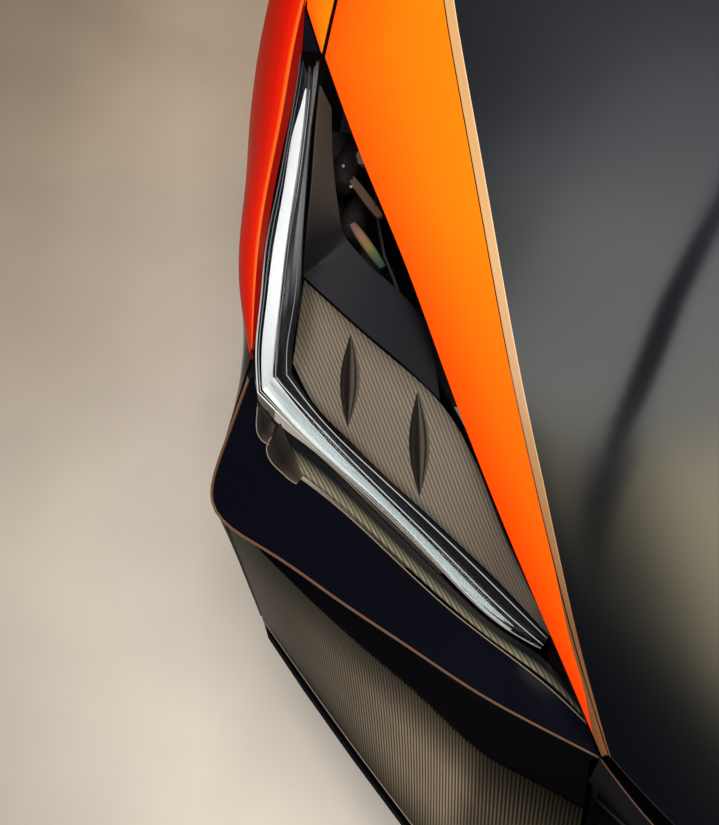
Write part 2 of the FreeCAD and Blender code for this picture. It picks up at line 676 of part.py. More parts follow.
# Bulkhead: the plate that the section is mounted by, with shoulders over the wheels.
def polygon_pad(label, plane_role, corners, length):
    # a body padded from straight lines whose corners follow expressions
    body = doc.addObject("PartDesign::Body", label)
    plane = [item for item in body.Origin.OriginFeatures if item.Role == plane_role][0]
    sketch = body.newObject("Sketcher::SketchObject", label + "_outline")
    sketch.AttachmentSupport = (plane, [""])
    sketch.MapMode = "FlatFace"
    spots = [Vector(sheet.evalExpression(x), sheet.evalExpression(y), 0) for x, y in corners]
    for first, second in zip(spots, spots[1:] + spots[:1]):
        sketch.addGeometry(Part.LineSegment(first, second), False)
    count = len(spots)
    for index, (x, y) in enumerate(corners):
        sketch.addConstraint(Sketcher.Constraint("Coincident", (index - 1) % count, 2, index, 1))
        for kind, text, value in (("DistanceX", x, spots[index].x), ("DistanceY", y, spots[index].y)):
            number = sketch.addConstraint(Sketcher.Constraint(kind, index, 1, value))
            sketch.setExpression("Constraints[%d]" % number, text)
    pad = body.newObject("PartDesign::Pad", label + "_pad")
    pad.Profile = sketch
    pad.setExpression("Length", length)
    doc.recompute()
    return body


def middle_up(alias):
    return "Sizes.%s * Sizes.body_rise / %d - Sizes.mount_up" % (alias, NOMINAL_RISE)


def rise_between(low, high):
    return "(Sizes.%s - Sizes.%s) * Sizes.body_rise / %d" % (high, low, NOMINAL_RISE)


HALF = "(Sizes.liner_inner - Sizes.seat)"
BULKHEAD_CORNERS = [
    ("-" + HALF, middle_up("bulkhead_low")), (HALF, middle_up("bulkhead_low")),
    (HALF, middle_up("shoulder_low")), ("Sizes.shoulder_half", middle_up("shoulder_low")),
    ("Sizes.shoulder_half", middle_up("bulkhead_top")),
    ("-Sizes.shoulder_half", middle_up("bulkhead_top")),
    ("-Sizes.shoulder_half", middle_up("shoulder_low")), ("-" + HALF, middle_up("shoulder_low"))]
bulkhead = polygon_pad("bulkhead", "XZ_Plane", BULKHEAD_CORNERS, "Sizes.bulkhead_thick")
bolts = bulkhead.newObject("Sketcher::SketchObject", "bulkhead_bolts")
bolts.AttachmentSupport = ([item for item in bulkhead.Origin.OriginFeatures
                            if item.Role == "XZ_Plane"][0], [""])
bolts.MapMode = "FlatFace"
for index, (x_sign, z_sign) in enumerate(((-1, -1), (1, -1), (1, 1), (-1, 1))):
    middle = Vector(x_sign * size("bolt_span_x") / 2, z_sign * size("bolt_span_z") / 2, 0)
    bolts.addGeometry(Part.Circle(middle, Vector(0, 0, 1), size("bolt_radius")), False)
    radius = bolts.addConstraint(Sketcher.Constraint("Radius", index, size("bolt_radius")))
    bolts.setExpression("Constraints[%d]" % radius, "Sizes.bolt_radius")
    for kind, sign, span, value in (("DistanceX", x_sign, "bolt_span_x", middle.x),
                                    ("DistanceY", z_sign, "bolt_span_z", middle.y)):
        number = bolts.addConstraint(Sketcher.Constraint(kind, index, 3, value))
        bolts.setExpression("Constraints[%d]" % number, "%d * Sizes.%s / 2" % (sign, span))
holes = bulkhead.newObject("PartDesign::Pocket", "bulkhead_holes")
holes.Profile = bolts
holes.Type = "ThroughAll"
holes.Reversed = True
doc.recompute()
parts.append(bulkhead)


def box(label, corner, lengths):
    # a block whose low corner (X, Y, Z) and lengths follow expressions
    item = doc.addObject("Part::Box", label)
    for name, text in zip(("Length", "Width", "Height"), lengths):
        item.setExpression(name, text)
    for name, text in zip("xyz", corner):
        item.setExpression(".Placement.Base." + name, text)
    item.Label = label
    return item


def run_between(front, rear):
    return "(Sizes.%s - Sizes.%s) * Sizes.body_length / %d" % (rear, front, NOMINAL_LENGTH)


def to_back(alias):
    return run_between("mount_back", alias)


rail_length = run_between("rail_front", "mount_back") + " - Sizes.bulkhead_thick"
rail_right = box("crash_rails_right",
                 ("-Sizes.rail_inner - Sizes.rail_width", to_back("rail_front"), middle_up("rail_up")),
                 ("Sizes.rail_width", rail_length, "Sizes.rail_depth"))
twins("crash_rails", rail_right)
beam = box("crash_beam",
           ("-Sizes.beam_half", to_back("rail_front") + " - Sizes.beam_thick", middle_up("rail_up")),
           ("2 * Sizes.beam_half", "Sizes.beam_thick", "Sizes.rail_depth"))
parts.append(beam)

# Luggage tub: open at the top, hung by its flanges on the rails.
tub_length = run_between("tub_front", "tub_back")
tub_height = rise_between("tub_low", "tub_rim")
tub_outer = box("tub_outer", ("-Sizes.tub_half", to_back("tub_front"), middle_up("tub_low")),
                ("2 * Sizes.tub_half", tub_length, tub_height))
flange_corner = ("-Sizes.rail_inner - Sizes.rail_width / 2", to_back("tub_front"),
                 middle_up("rail_up") + " + Sizes.rail_depth + Sizes.seat")
flange = box("tub_flange", flange_corner,
             ("2 * Sizes.rail_inner + Sizes.rail_width", tub_length, "Sizes.tub_wall"))
tub_inner = box("tub_inner",
                ("Sizes.tub_wall - Sizes.tub_half", to_back("tub_front") + " + Sizes.tub_wall",
                 middle_up("tub_low") + " + Sizes.tub_wall"),
                ("2 * (Sizes.tub_half - Sizes.tub_wall)", tub_length + " - 2 * Sizes.tub_wall",
                 tub_height))
tub_whole = doc.addObject("Part::Fuse", "tub_whole")
tub_whole.Base = tub_outer
tub_whole.Tool = flange
tub = doc.addObject("Part::Cut", "luggage_tub")
tub.Base = tub_whole
tub.Tool = tub_inner
tub.Label = "luggage_tub"
parts.append(tub)

radiator = box("radiator",
               ("Sizes.seat - Sizes.rail_inner", to_back("rail_front") + " + Sizes.radiator_back",
                middle_up("radiator_low")),
               ("2 * (Sizes.rail_inner - Sizes.seat)", "Sizes.radiator_thick",
                rise_between("radiator_low", "rail_up") + " + Sizes.radiator_over"))
parts.append(radiator)


# Wheel arch liners, each cut to end one seat inside the wing and the bumper.
liner_outer = size("arch_radius") + size("liner_clear") + size("liner_wall")
liner_wall = size("liner_wall")
liner_end = size("body_width") / 2 + liner_wall
drum = arch_cylinder(liner_outer, size("liner_inner"), liner_end)
hollow = arch_cylinder(liner_outer - liner_wall, size("liner_inner") + liner_wall, 2 * liner_end)
hub_hole = arch_cylinder(size("hub_hole"), size("liner_inner") - liner_wall, liner_end)
below = Part.makeBox(3 * liner_outer, 3 * liner_outer, 2 * liner_outer,
                     Vector(-3 * liner_outer, back_at(size("arch_back")) - 1.5 * liner_outer,
                            up_at(size("liner_low")) - 2 * liner_outer))
liner = drum.cut(hollow).cut(hub_hole).cut(below)
liner = under(under(liner, wing_rows, SIDE_FACE), side_rows, SIDE_FRONT)
liner = max(liner.Solids, key=lambda solid: solid.Volume)
pair("arch_liner", liner)

# Splitter: a flat plate that follows the foot of the chins and stands out past them.
SPLITTER_EDGE = [(885, size("splitter_back"), 0), (868, 324, 0), (850, 290, 0), (788, 224, 0),
                 (710, 145, 0), (634, 71, 0), (578, 18, 0), (520, -34, 0), (440, -96, 0),
                 (300, -156, 0), (150, -190, 0), (0, -200, 0)]
splitter_floor = up_at(size("splitter_low"))
outline_right = [Vector(point.x, point.y, splitter_floor) for point in map(place, SPLITTER_EDGE)]
grown = []
for before, point, after in zip(outline_right[:1] + outline_right, outline_right,
                                outline_right[1:] + outline_right[-1:]):
    along = after - before
    grown.append(point + unit(Vector(-along.y, along.x, 0)) * -size("splitter_lip"))
grown[0] = Vector(grown[1].x, outline_right[0].y, splitter_floor)
grown[-1] = Vector(0, grown[-1].y, splitter_floor)
whole = grown + [Vector(-point.x, point.y, point.z) for point in reversed(grown[:-1])]
splitter = Part.Face(Part.makePolygon(whole + whole[:1])).extrude(Vector(0, 0, size("splitter_thick")))
feature("splitter", splitter)

stay_right = box("splitter_stays_right",
                 ("-Sizes.rail_inner - Sizes.rail_width / 2",
                  to_back("rail_front") + " + Sizes.stay_back",
                  middle_up("splitter_low") + " + Sizes.splitter_thick + Sizes.seat"),
                 ("Sizes.stay_thick", "Sizes.stay_wide",
                  rise_between("splitter_low", "rail_up")
                  + " - Sizes.splitter_thick - 2 * Sizes.seat"))
twins("splitter_stays", stay_right)

# Intake: bowed slats between end plates that stand on the splitter.
INTAKE_BOW = 150
SLAT_COUNT = 5
half = size("intake_half")
bow_radius = (half * half + INTAKE_BOW * INTAKE_BOW) / (2 * INTAKE_BOW)
slat_centre = back_at(size("intake_back")) - INTAKE_BOW + bow_radius
foot = splitter_floor + size("splitter_thick") + SEAT


def bowed(low, height):
    # part of a ring whose ends lie at the end plates
    axis = Vector(0, slat_centre, low)
    ring = Part.makeCylinder(bow_radius, height, axis)
    ring = ring.cut(Part.makeCylinder(bow_radius - size("slat_depth"), height, axis))
    window = Part.makeBox(2 * half, INTAKE_BOW + size("slat_depth") + 40, height,
                          Vector(-half, back_at(size("intake_back")) - INTAKE_BOW - 10, low))
    return ring.common(window)


slats = [bowed(foot + size("slat_pitch") * count, size("slat_thick")) for count in range(1, SLAT_COUNT + 1)]
height = size("slat_pitch") * SLAT_COUNT + size("slat_thick")
uprights = []
for out in (-half, -half / 3, half / 3 - size("slat_thick"), half - size("slat_thick")):
    column = bowed(foot, height)
    uprights.append(column.common(Part.makeBox(size("slat_thick"), bow_radius, height,
                                               Vector(out, slat_centre - bow_radius, foot))))
grille = slats[0].multiFuse(slats[1:] + uprights)
feature("intake_grille", grille.removeSplitter())

# Upper rails: from the bulkhead shoulders forward over the wheels to the lamps.
# rail table: back and underside
UPPER_RAIL = [(1176, 736), (980, 736), (720, 674), (640, 600)]
upper_half = size("upper_rail_wide") / 2


def upper_rail_grid(rise):
    result = []
    for back, low in UPPER_RAIL:
        point = place((size("upper_rail_out"), back, low)) + Vector(0, 0, rise)
        result.append([point + Vector(-upper_half, 0, 0), point + Vector(upper_half, 0, 0)])
    result[0] = [Vector(point.x, back_at(size("mount_back") - size("bulkhead_thick")), point.z)
                 for point in result[0]]
    return result


upper_rail = solid_between(upper_rail_grid(size("upper_rail_deep")), upper_rail_grid(0))
feature("upper_rails", both(upper_rail))


# Lid frame: two beams and two cross members under the skin, as one piece.
FRAME_TOP = LID_WALL + size("frame_seat")
FRAME_FOOT = FRAME_TOP + size("frame_deep")
# frame table: first and last row of the lid, first and last column
FRAME_STEPS = [(0, 1, 1, 11), (0, 13, 2, 3), (0, 13, 9, 10), (11, 13, 1, 11)]
frame_top = lid_grid(FRAME_TOP, GAP)
frame_foot = lid_grid(FRAME_FOOT, GAP)


def frame_piece(first_row, last_row, first_column, last_column):
    top = [row[first_column:last_column + 1] for row in frame_top[first_row:last_row + 1]]
    low = [row[first_column:last_column + 1] for row in frame_foot[first_row:last_row + 1]]
    return solid_between(top, low)


pieces = [frame_piece(*spans) for spans in FRAME_STEPS]
lid_frame = pieces[0].multiFuse(pieces[1:]).removeSplitter()
feature("bonnet_frame", lid_frame)
under_frame = lid_layer(ABOVE, FRAME_FOOT + SEAT)


def under_lid(shape):
    return shape.cut(under_frame)


# Hinges: a knuckle arm under each rear corner of the lid, between the ears of a bracket.
hinge_at = Vector(-size("hinge_out"), back_at(size("hinge_back")), up_at(size("hinge_up")))
knuckle_half = size("knuckle_wide") / 2
arm_half = size("arm_thick") / 2
knuckle = Part.makeCylinder(size("knuckle_radius"), 2 * knuckle_half,
                            hinge_at - Vector(knuckle_half, 0, 0), Vector(1, 0, 0))
bore = Part.makeCylinder(size("pin_radius") + size("running_gap"), 2 * knuckle_half + 2,
                         hinge_at - Vector(knuckle_half + 1, 0, 0), Vector(1, 0, 0))
arm_plate = Part.makeBox(2 * arm_half, size("arm_long"), -ABOVE,
                         hinge_at + Vector(-arm_half, -size("arm_long"), -size("arm_drop")))
arm = under_lid(arm_plate).fuse(knuckle).cut(bore)
feature("hinge_arms", both(arm))

ear_radius = size("knuckle_radius") - 2
ear_gap = knuckle_half + size("ear_clear")
bulkhead_crest = up_at(size("bulkhead_top"))
ears = []
for side in (-ear_gap - size("ear_thick"), ear_gap):
    round_end = Part.makeCylinder(ear_radius, size("ear_thick"),
                                  hinge_at + Vector(side, 0, 0), Vector(1, 0, 0))
    stem = Part.makeBox(size("ear_thick"), 2 * ear_radius, hinge_at.z - bulkhead_crest,
                        Vector(hinge_at.x + side, hinge_at.y - ear_radius, bulkhead_crest))
    ears += [round_end, stem]
bracket_wide = ear_gap + size("ear_thick")
base = Part.makeBox(2 * bracket_wide, hinge_at.y + ear_radius + size("bulkhead_thick"),
                    size("ear_thick"),
                    Vector(hinge_at.x - bracket_wide, -size("bulkhead_thick"), bulkhead_crest))
pin = Part.makeCylinder(size("pin_radius"), 2 * bracket_wide,
                        hinge_at - Vector(bracket_wide, 0, 0), Vector(1, 0, 0))
feature("hinge_brackets", both(base.multiFuse(ears + [pin])))

# Latch on the crash beam, and the striker that the lid carries.
beam_top = up_at(size("rail_up")) + size("rail_depth")
beam_back = back_at(size("rail_front"))
latch_deep = size("beam_thick")
latch_half = size("latch_wide") / 2
latch_body = Part.makeBox(2 * latch_half, latch_deep, size("latch_tall"),
                          Vector(-latch_half, beam_back - latch_deep, beam_top))
slot_half = size("striker_wide") / 2 + size("latch_clear")
latch_wall = size("latch_wall")
latch_slot = Part.makeBox(2 * slot_half, latch_deep - latch_wall, size("latch_tall"),
                          Vector(-slot_half, beam_back - latch_deep, beam_top + latch_wall))
feature("latch", latch_body.cut(latch_slot))
striker_foot = beam_top + latch_wall + size("latch_clear")
striker_back = beam_back - latch_wall - size("latch_clear")
striker = Part.makeBox(size("striker_wide"), size("striker_deep"), size("tub_rim"),
                       Vector(-size("striker_wide") / 2, striker_back - size("striker_deep"),
                              striker_foot))
feature("lid_striker", lowest(under_lid(striker)))

# Stays that carry the nose bar from the crash beam.
stay_up = beam_top - size("rail_depth") / 2
stay_reach = size("rail_front") * 2
bar_stay = Part.makeBox(size("stay_wide"), stay_reach, size("bar_stay_deep"),
                        Vector(-size("bar_stay_out"), beam_back - latch_deep - stay_reach, stay_up))
bar_stay = under(bar_stay, bar_rows, BAR_FACE)
bar_stay = max(bar_stay.Solids, key=lambda solid: solid.BoundBox.YMax)
feature("bar_stays", both(bar_stay))

# Brackets from the crash rails to the lamp housings.
bracket_corner = Vector(-size("bracket_out"), back_at(size("bracket_front")),
                        beam_top - size("bracket_tall"))
bracket_reach = size("bracket_out") - size("rail_inner") - size("rail_width") - SEAT
bracket_arm = Part.makeBox(bracket_reach, size("bracket_deep"), size("bracket_tall"), bracket_corner)
bracket_post = Part.makeBox(size("bracket_thick"), size("bracket_deep"), 3 * size("bracket_tall"),
                            bracket_corner).cut(floor_block())
feature("lamp_brackets", both(bracket_arm.fuse(lowest(bracket_post))))

# Rubber stops on the upper rails, under the outer edges of the lid.
blade_cutter = panel(blade_rows, BLADE_FACE, ABOVE, LID_WALL + SEAT)
stop_at = Vector(-size("upper_rail_out") * WIDE, back_at(size("stop_back")), 0)
rail_cutter = solid_between(upper_rail_grid(size("upper_rail_deep") + SEAT),
                            upper_rail_grid(-REACH))
stop = Part.makeCylinder(size("stop_radius"), REACH, stop_at).cut(blade_cutter).cut(rail_cutter)
feature("lid_stops", both(lowest(stop)))

def write_parts():
    doc.recompute()
    os.makedirs("parts", exist_ok=True)
    for item in parts:
        if "Invalid" in item.State or "Error" in item.State:
            raise RuntimeError(item.Label + " failed")
        if item.Shape.isNull() or not item.Shape.isValid():
            raise RuntimeError(item.Label + " has no valid shape")
    for item in parts:
        item.Shape.exportStep("parts/%s.step" % item.Label)


write_parts()
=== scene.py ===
import math

import bpy
import numpy as np
from mathutils import Matrix, Vector


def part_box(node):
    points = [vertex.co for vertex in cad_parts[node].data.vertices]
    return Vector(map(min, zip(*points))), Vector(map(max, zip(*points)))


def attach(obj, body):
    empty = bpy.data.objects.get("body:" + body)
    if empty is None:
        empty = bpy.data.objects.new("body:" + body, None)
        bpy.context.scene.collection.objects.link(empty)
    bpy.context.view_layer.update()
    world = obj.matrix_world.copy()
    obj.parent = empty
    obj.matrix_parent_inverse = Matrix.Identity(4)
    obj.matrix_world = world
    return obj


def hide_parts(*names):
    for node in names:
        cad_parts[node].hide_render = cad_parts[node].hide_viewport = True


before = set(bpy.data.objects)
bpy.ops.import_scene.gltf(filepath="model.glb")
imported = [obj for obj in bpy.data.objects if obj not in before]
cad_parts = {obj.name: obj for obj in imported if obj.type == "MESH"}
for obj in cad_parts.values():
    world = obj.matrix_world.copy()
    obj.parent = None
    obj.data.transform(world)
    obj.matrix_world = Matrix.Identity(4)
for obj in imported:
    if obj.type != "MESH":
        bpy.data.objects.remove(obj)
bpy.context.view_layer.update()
print("frame loaded:", len(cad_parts), "nodes")

# Body lines, as on the solids: (out, back, up) in mm from the centre plane, nose datum and ground
mountBack, mountUp = 1200, 420
bodyLines = {
    "spine": [(0, 1240, 905), (0, 980, 868), (0, 700, 800), (0, 520, 745), (0, 380, 700),
              (0, 220, 640), (0, 50, 565), (0, -110, 490), (0, -190, 445)],
    "bladeIn": [(700, 1240, 858), (775, 980, 812), (718, 700, 751), (668, 551, 721),
                (631, 445, 692), (583, 310, 656), (517, 156, 590), (452, 29, 519), (426, -14, 492)],
    "brow": [(800, 1240, 838), (862, 980, 792), (866, 689, 731), (790, 551, 700), (725, 445, 670),
             (648, 310, 630), (552, 156, 572), (463, 29, 512), (432, -16, 490)],
    "wingIn": [(872, 361, 588), (882, 455, 652), (889, 600, 705), (896, 700, 731), (907, 765, 744),
               (916, 1000, 785), (918, 1300, 786), (912, 1560, 771)],
    "wingCrest": [(878, 361, 579), (890, 455, 655), (898, 600, 709), (906, 700, 736),
                  (909, 765, 748), (918, 1000, 785), (920, 1300, 785), (915, 1560, 770)],
    "wingSide": [(881, 361, 567), (916, 455, 600), (934, 600, 650), (946, 700, 680),
                 (953, 765, 694), (972, 1000, 730), (975, 1300, 720), (970, 1560, 690)],
    "wingHem": [(880, 361, 557), (915, 455, 560), (948, 600, 545), (966, 700, 510), (973, 765, 503),
                (990, 1000, 480), (986, 1300, 300), (975, 1560, 180)],
    "cornerTop": [(874, 348, 548), (858, 310, 522), (840, 281, 505), (791, 249, 498),
                  (698, 190, 490), (610, 129, 482), (544, 91, 477), (495, 62, 474), (452, 26, 478)],
    "lip": [(879, 344, 546), (899, 289, 478), (904, 250, 430), (829, 197, 430), (735, 144, 438),
            (642, 92, 448), (562, 47, 458), (496, 16, 468), (434, -10, 476)],
    "underLip": [(904, 250, 430), (829, 197, 430), (735, 144, 438), (642, 92, 448), (562, 47, 458),
                 (496, 16, 468), (434, -10, 476)],
    "recess": [(898, 261, 420), (806, 250, 372), (712, 192, 374), (625, 134, 376), (560, 92, 380),
               (500, 62, 384), (440, 34, 388)],
    "chinTop": [(901, 259, 410), (793, 230, 305), (706, 171, 302), (620, 115, 300), (558, 73, 298),
                (498, 51, 296), (436, 29, 295)],
    "chinLow": [(871, 300, 119), (790, 216, 119), (712, 137, 119), (636, 63, 119), (580, 10, 119),
                (520, -42, 119), (436, -100, 119)],
    "barTop": [(434, -6, 476), (372, -60, 460), (250, -132, 446), (120, -187, 436), (0, -207, 432)],
    "barMiddle": [(438, 4, 420), (374, -60, 412), (250, -134, 402), (120, -190, 394),
                  (0, -211, 391)],
    "barLow": [(440, 26, 364), (372, -30, 361), (250, -100, 357), (120, -152, 352), (0, -172, 350)],
    "lampRim": [(898, 696, 731), (893, 661, 722), (889, 587, 702), (885, 515, 678), (883, 449, 652),
                (876, 393, 622), (873, 353, 585), (865, 322, 546), (821, 296, 530), (730, 234, 518),
                (629, 160, 506), (548, 106, 496), (509, 92, 491)],
    "guideOut": [(885, 672, 728), (881, 636, 722), (880, 590, 704), (874, 512, 680),
                 (870, 444, 655), (865, 386, 626), (863, 349, 591), (857, 324, 554),
                 (816, 297, 539), (725, 234, 527), (625, 160, 514), (546, 105, 502),
                 (508, 92, 494)],
    "guideIn": [(882, 675, 729), (875, 639, 724), (869, 592, 707), (860, 510, 684), (854, 443, 659),
                (848, 384, 631), (846, 346, 598), (845, 333, 566), (806, 309, 546), (719, 241, 533),
                (619, 167, 520), (540, 111, 507), (506, 94, 497)],
    "bezelIn": [(871, 684, 734), (865, 644, 729), (860, 592, 712), (848, 512, 688), (837, 444, 662),
                (828, 387, 636), (828, 345, 604), (826, 333, 577), (800, 316, 553), (711, 248, 541),
                (609, 178, 528), (531, 122, 514), (502, 104, 502)],
    "plateLow": [(828, 345, 583), (797, 312, 557), (754, 280, 548), (710, 246, 543),
                 (661, 213, 536), (609, 176, 530), (572, 151, 523), (531, 120, 516),
                 (501, 99, 507)],
    "plateHigh": [(834, 429, 632), (785, 392, 628), (745, 364, 623), (708, 340, 618),
                  (655, 302, 609), (600, 235, 588), (560, 172, 564), (525, 125, 543),
                  (494, 90, 520)],
    "sillHigh": [(864, 318, 540), (838, 300, 531), (799, 279, 525), (730, 231, 516),
                 (629, 157, 504), (547, 104, 494), (507, 86, 490), (462, 42, 488)],
    "sillLow": [(858, 312, 524), (838, 283, 507), (791, 251, 500), (698, 192, 492), (610, 131, 484),
                (544, 92, 479), (494, 64, 476), (455, 30, 480)],
    "shroudLow": [(862, 646, 726), (855, 592, 709), (843, 512, 685), (836, 450, 656),
                  (834, 429, 632), (785, 392, 628), (745, 364, 623), (708, 340, 618),
                  (655, 302, 609)],
    "shroudHigh": [(846, 635, 702), (834, 584, 685), (810, 512, 652), (803, 498, 643),
                   (795, 488, 639), (764, 459, 636), (738, 440, 633), (713, 420, 630),
                   (679, 386, 625)],
}
sides = {"right": -1, "left": 1}
mm = 0.001


def bodyPoints(points, side):
    # mm body points to metres in the frame of the part; the right side is -X
    return (np.array(points, float) * (side, 1, 1) - (0, mountBack, mountUp)) * mm


def smoothLine(points, perSpan):
    # a natural cubic spline through the points, with the same number of samples in each span
    points = np.array(points, float)
    steps = np.linalg.norm(np.diff(points, axis=0), axis=1)
    count = len(points)
    matrix = np.eye(count)
    right = np.zeros(points.shape)
    for i in range(1, count - 1):
        matrix[i, i - 1:i + 2] = steps[i - 1], 2 * (steps[i - 1] + steps[i]), steps[i]
        right[i] = 6 * ((points[i + 1] - points[i]) / steps[i]
                        - (points[i] - points[i - 1]) / steps[i - 1])
    bend = np.linalg.solve(matrix, right)
    share = np.arange(perSpan)[:, None] / perSpan
    rest = 1 - share
    spans = [rest * points[i] + share * points[i + 1]
             + steps[i] ** 2 / 6 * ((rest ** 3 - rest) * bend[i] + (share ** 3 - share) * bend[i + 1])
             for i in range(count - 1)]
    return np.concatenate(spans + [points[-1:]])


def bodyLine(name, side, perSpan, corner=None):
    # a named body line; it stays sharp at the corner point, if one is given
    points = bodyPoints(bodyLines[name], side)
    if corner is None:
        return smoothLine(points, perSpan)
    before, after = smoothLine(points[:corner + 1], perSpan), smoothLine(points[corner:], perSpan)
    return np.concatenate([before, after[1:]])


def lineGrid(names, side, perSpan, corner=None):
    # rows along the car, columns across the named lines
    return np.stack([bodyLine(name, side, perSpan, corner) for name in names], 1)


def ruledGrid(first, last, steps, crown=0.0):
    # straight rows between two lines of as many points, raised in the middle by crown mm
    share = np.linspace(0, 1, steps + 1)[:, None]
    grid = first[:, None] * (1 - share) + last[:, None] * share
    grid[:, :, 2] += crown * mm * 4 * (share * (1 - share))[:, 0]
    return grid


def pointAt(line, measures, place):
    return np.array([np.interp(place, measures, line[:, axis]) for axis in range(3)])


def unit(vectors):
    return vectors / np.maximum(np.linalg.norm(vectors, axis=-1, keepdims=True), 1e-12)


def roundedRow(row, roundings, flatSteps, arcSteps=5, most=0.45):
    # a polyline with its inner corners rounded, by at most a share of its flats, and its flats divided
    line = [row[0]]

    def addFlat(end):
        start = line[-1]
        line.extend([start + (end - start) * k / flatSteps for k in range(1, flatSteps + 1)])

    for i, rounding in enumerate(roundings, 1):
        toBefore, toAfter = row[i - 1] - row[i], row[i + 1] - row[i]
        reach = min(rounding * mm, most * np.linalg.norm(toBefore), most * np.linalg.norm(toAfter))
        start, end = row[i] + unit(toBefore) * reach, row[i] + unit(toAfter) * reach
        addFlat(start)
        for t in np.arange(1, arcSteps + 1) / arcSteps:
            line.append(start * (1 - t) ** 2 + row[i] * 2 * t * (1 - t) + end * t ** 2)
    addFlat(row[-1])
    return line


def roundedGrid(grid, roundings, flatSteps):
    return np.array([roundedRow(row, roundings, flatSteps) for row in grid])


def insetGrid(grid, first=0.0, last=0.0, start=0.0, end=0.0):
    # the panel's edges drawn in by mm
    grid = grid.copy()
    grid[:, 0] += unit(grid[:, 1] - grid[:, 0]) * first * mm
    grid[:, -1] += unit(grid[:, -2] - grid[:, -1]) * last * mm
    grid[0] += unit(grid[1] - grid[0]) * start * mm
    grid[-1] += unit(grid[-2] - grid[-1]) * end * mm
    return grid


def gridNormals(grid, face):
    normals = unit(np.cross(np.gradient(grid, axis=0), np.gradient(grid, axis=1)))
    return -normals if (normals @ np.array(face, float)).mean() < 0 else normals


def gridShares(high, wide):
    # (column, row) of each point of a grid, as shares of its width and height
    return np.stack(np.meshgrid(np.linspace(0, 1, wide), np.linspace(0, 1, high)), -1).reshape(-1, 2)


def quads(*corners):
    return np.stack([corner.ravel() for corner in corners], 1).tolist()


def closedFaces(high, wide):
    # quads of an outer and an inner grid of points, and of the four walls between them
    outer = np.arange(high * wide).reshape(high, wide)
    inner = outer + high * wide
    return (quads(outer[:-1, :-1], outer[:-1, 1:], outer[1:, 1:], outer[1:, :-1])
            + quads(inner[:-1, :-1], inner[1:, :-1], inner[1:, 1:], inner[:-1, 1:])
            + quads(outer[:-1, 0], outer[1:, 0], inner[1:, 0], inner[:-1, 0])
            + quads(outer[1:, -1], outer[:-1, -1], inner[:-1, -1], inner[1:, -1])
            + quads(outer[0, 1:], outer[0, :-1], inner[0, :-1], inner[0, 1:])
            + quads(outer[-1, :-1], outer[-1, 1:], inner[-1, 1:], inner[-1, :-1]))


def turnedFaces(faces):
    return [face[::-1] for face in faces]


def linked(name, data):
    thing = bpy.data.objects.new(name, data)
    bpy.context.scene.collection.objects.link(thing)
    return thing


def newObject(name, points, faces=(), maps=None):
    # maps: name to one (u, v) for each point
    mesh = bpy.data.meshes.new(name)
    mesh.from_pydata([tuple(point) for point in points], [], faces)
    for mapName, values in (maps or {}).items():
        layer = mesh.uv_layers.new(name=mapName)
        spots = np.zeros(len(mesh.loops), np.int32)
        mesh.loops.foreach_get("vertex_index", spots)
        layer.data.foreach_set("uv", values.astype(np.float32)[spots].ravel())
    mesh.polygons.foreach_set("use_smooth", [True] * len(mesh.polygons))
    mesh.update()
    return linked(name, mesh)


def applied(thing):
    # the object with its modifiers turned into plain mesh
    bpy.context.view_layer.update()
    graph = bpy.context.evaluated_depsgraph_get()
    mesh = bpy.data.meshes.new_from_object(thing.evaluated_get(graph))
    thing.modifiers.clear()
    thing.data = mesh
    return thing


def roundEdges(thing, width, segments=2, sharpFrom=50):
    bevel = thing.modifiers.new("edges", "BEVEL")
    bevel.width = width * mm
    bevel.segments = segments
    bevel.limit_method = "ANGLE"
    bevel.angle_limit = math.radians(sharpFrom)
    bevel.harden_normals = True
    return applied(thing)


def layerObject(name, outer, inner, face, edge, segments=2, maps=None):
    # a closed piece between two grids of points; edge: mm of rounding
    high, wide = outer.shape[:2]
    faces = closedFaces(high, wide)
    corner = np.cross(outer[0, 1] - outer[0, 0], outer[1, 0] - outer[0, 0])
    if corner @ gridNormals(outer, face)[0, 0] < 0:
        faces = turnedFaces(faces)
    maps = {"share": gridShares(high, wide), **(maps or {})}
    thing = newObject(name, np.concatenate([outer, inner]).reshape(-1, 3), faces,
                      {mapName: np.tile(values, (2, 1)) for mapName, values in maps.items()})
    return roundEdges(thing, edge, segments) if edge else thing


def panelObject(name, grid, face, wall, edge=0.8, ribs=None, maps=None):
    # a closed panel below a grid; ribs gives the weave's rib direction
    normals = gridNormals(grid, face)
    maps = dict(maps or {})
    if ribs is not None:
        middle = unit(normals.mean((0, 1)))
        alongRib = unit(ribs - middle * (ribs @ middle))
        flat = grid.reshape(-1, 3)
        maps["metres"] = np.stack([flat @ alongRib, flat @ np.cross(middle, alongRib)], -1)
    return layerObject(name, grid, grid - normals * wall * mm, face, edge, maps=maps)


def beadObject(name, path, radius, around=8, aside=(0.12, 0.31, 0.95)):
    # a round bead along a path of points, closed at both ends; radius in mm, one or one per point
    along = unit(np.gradient(path, axis=0))
    across = unit(np.cross(along, np.array(aside)))
    beyond = np.cross(across, along)
    radii = np.broadcast_to(np.array(radius, float), len(path))[:, None] * mm
    rings = [path + (across * math.cos(turn) + beyond * math.sin(turn)) * radii
             for turn in np.linspace(0, 2 * math.pi, around, endpoint=False)]
    spots = np.arange(len(path) * around).reshape(-1, around)
    beside = np.roll(spots, -1, 1)
    faces = quads(spots[:-1], beside[:-1], beside[1:], spots[1:])
    faces += [spots[0, ::-1].tolist(), spots[-1].tolist()]
    return newObject(name, np.stack(rings, 1).reshape(-1, 3), turnedFaces(faces),
                     {"share": gridShares(len(path), 1).repeat(around, 0)})


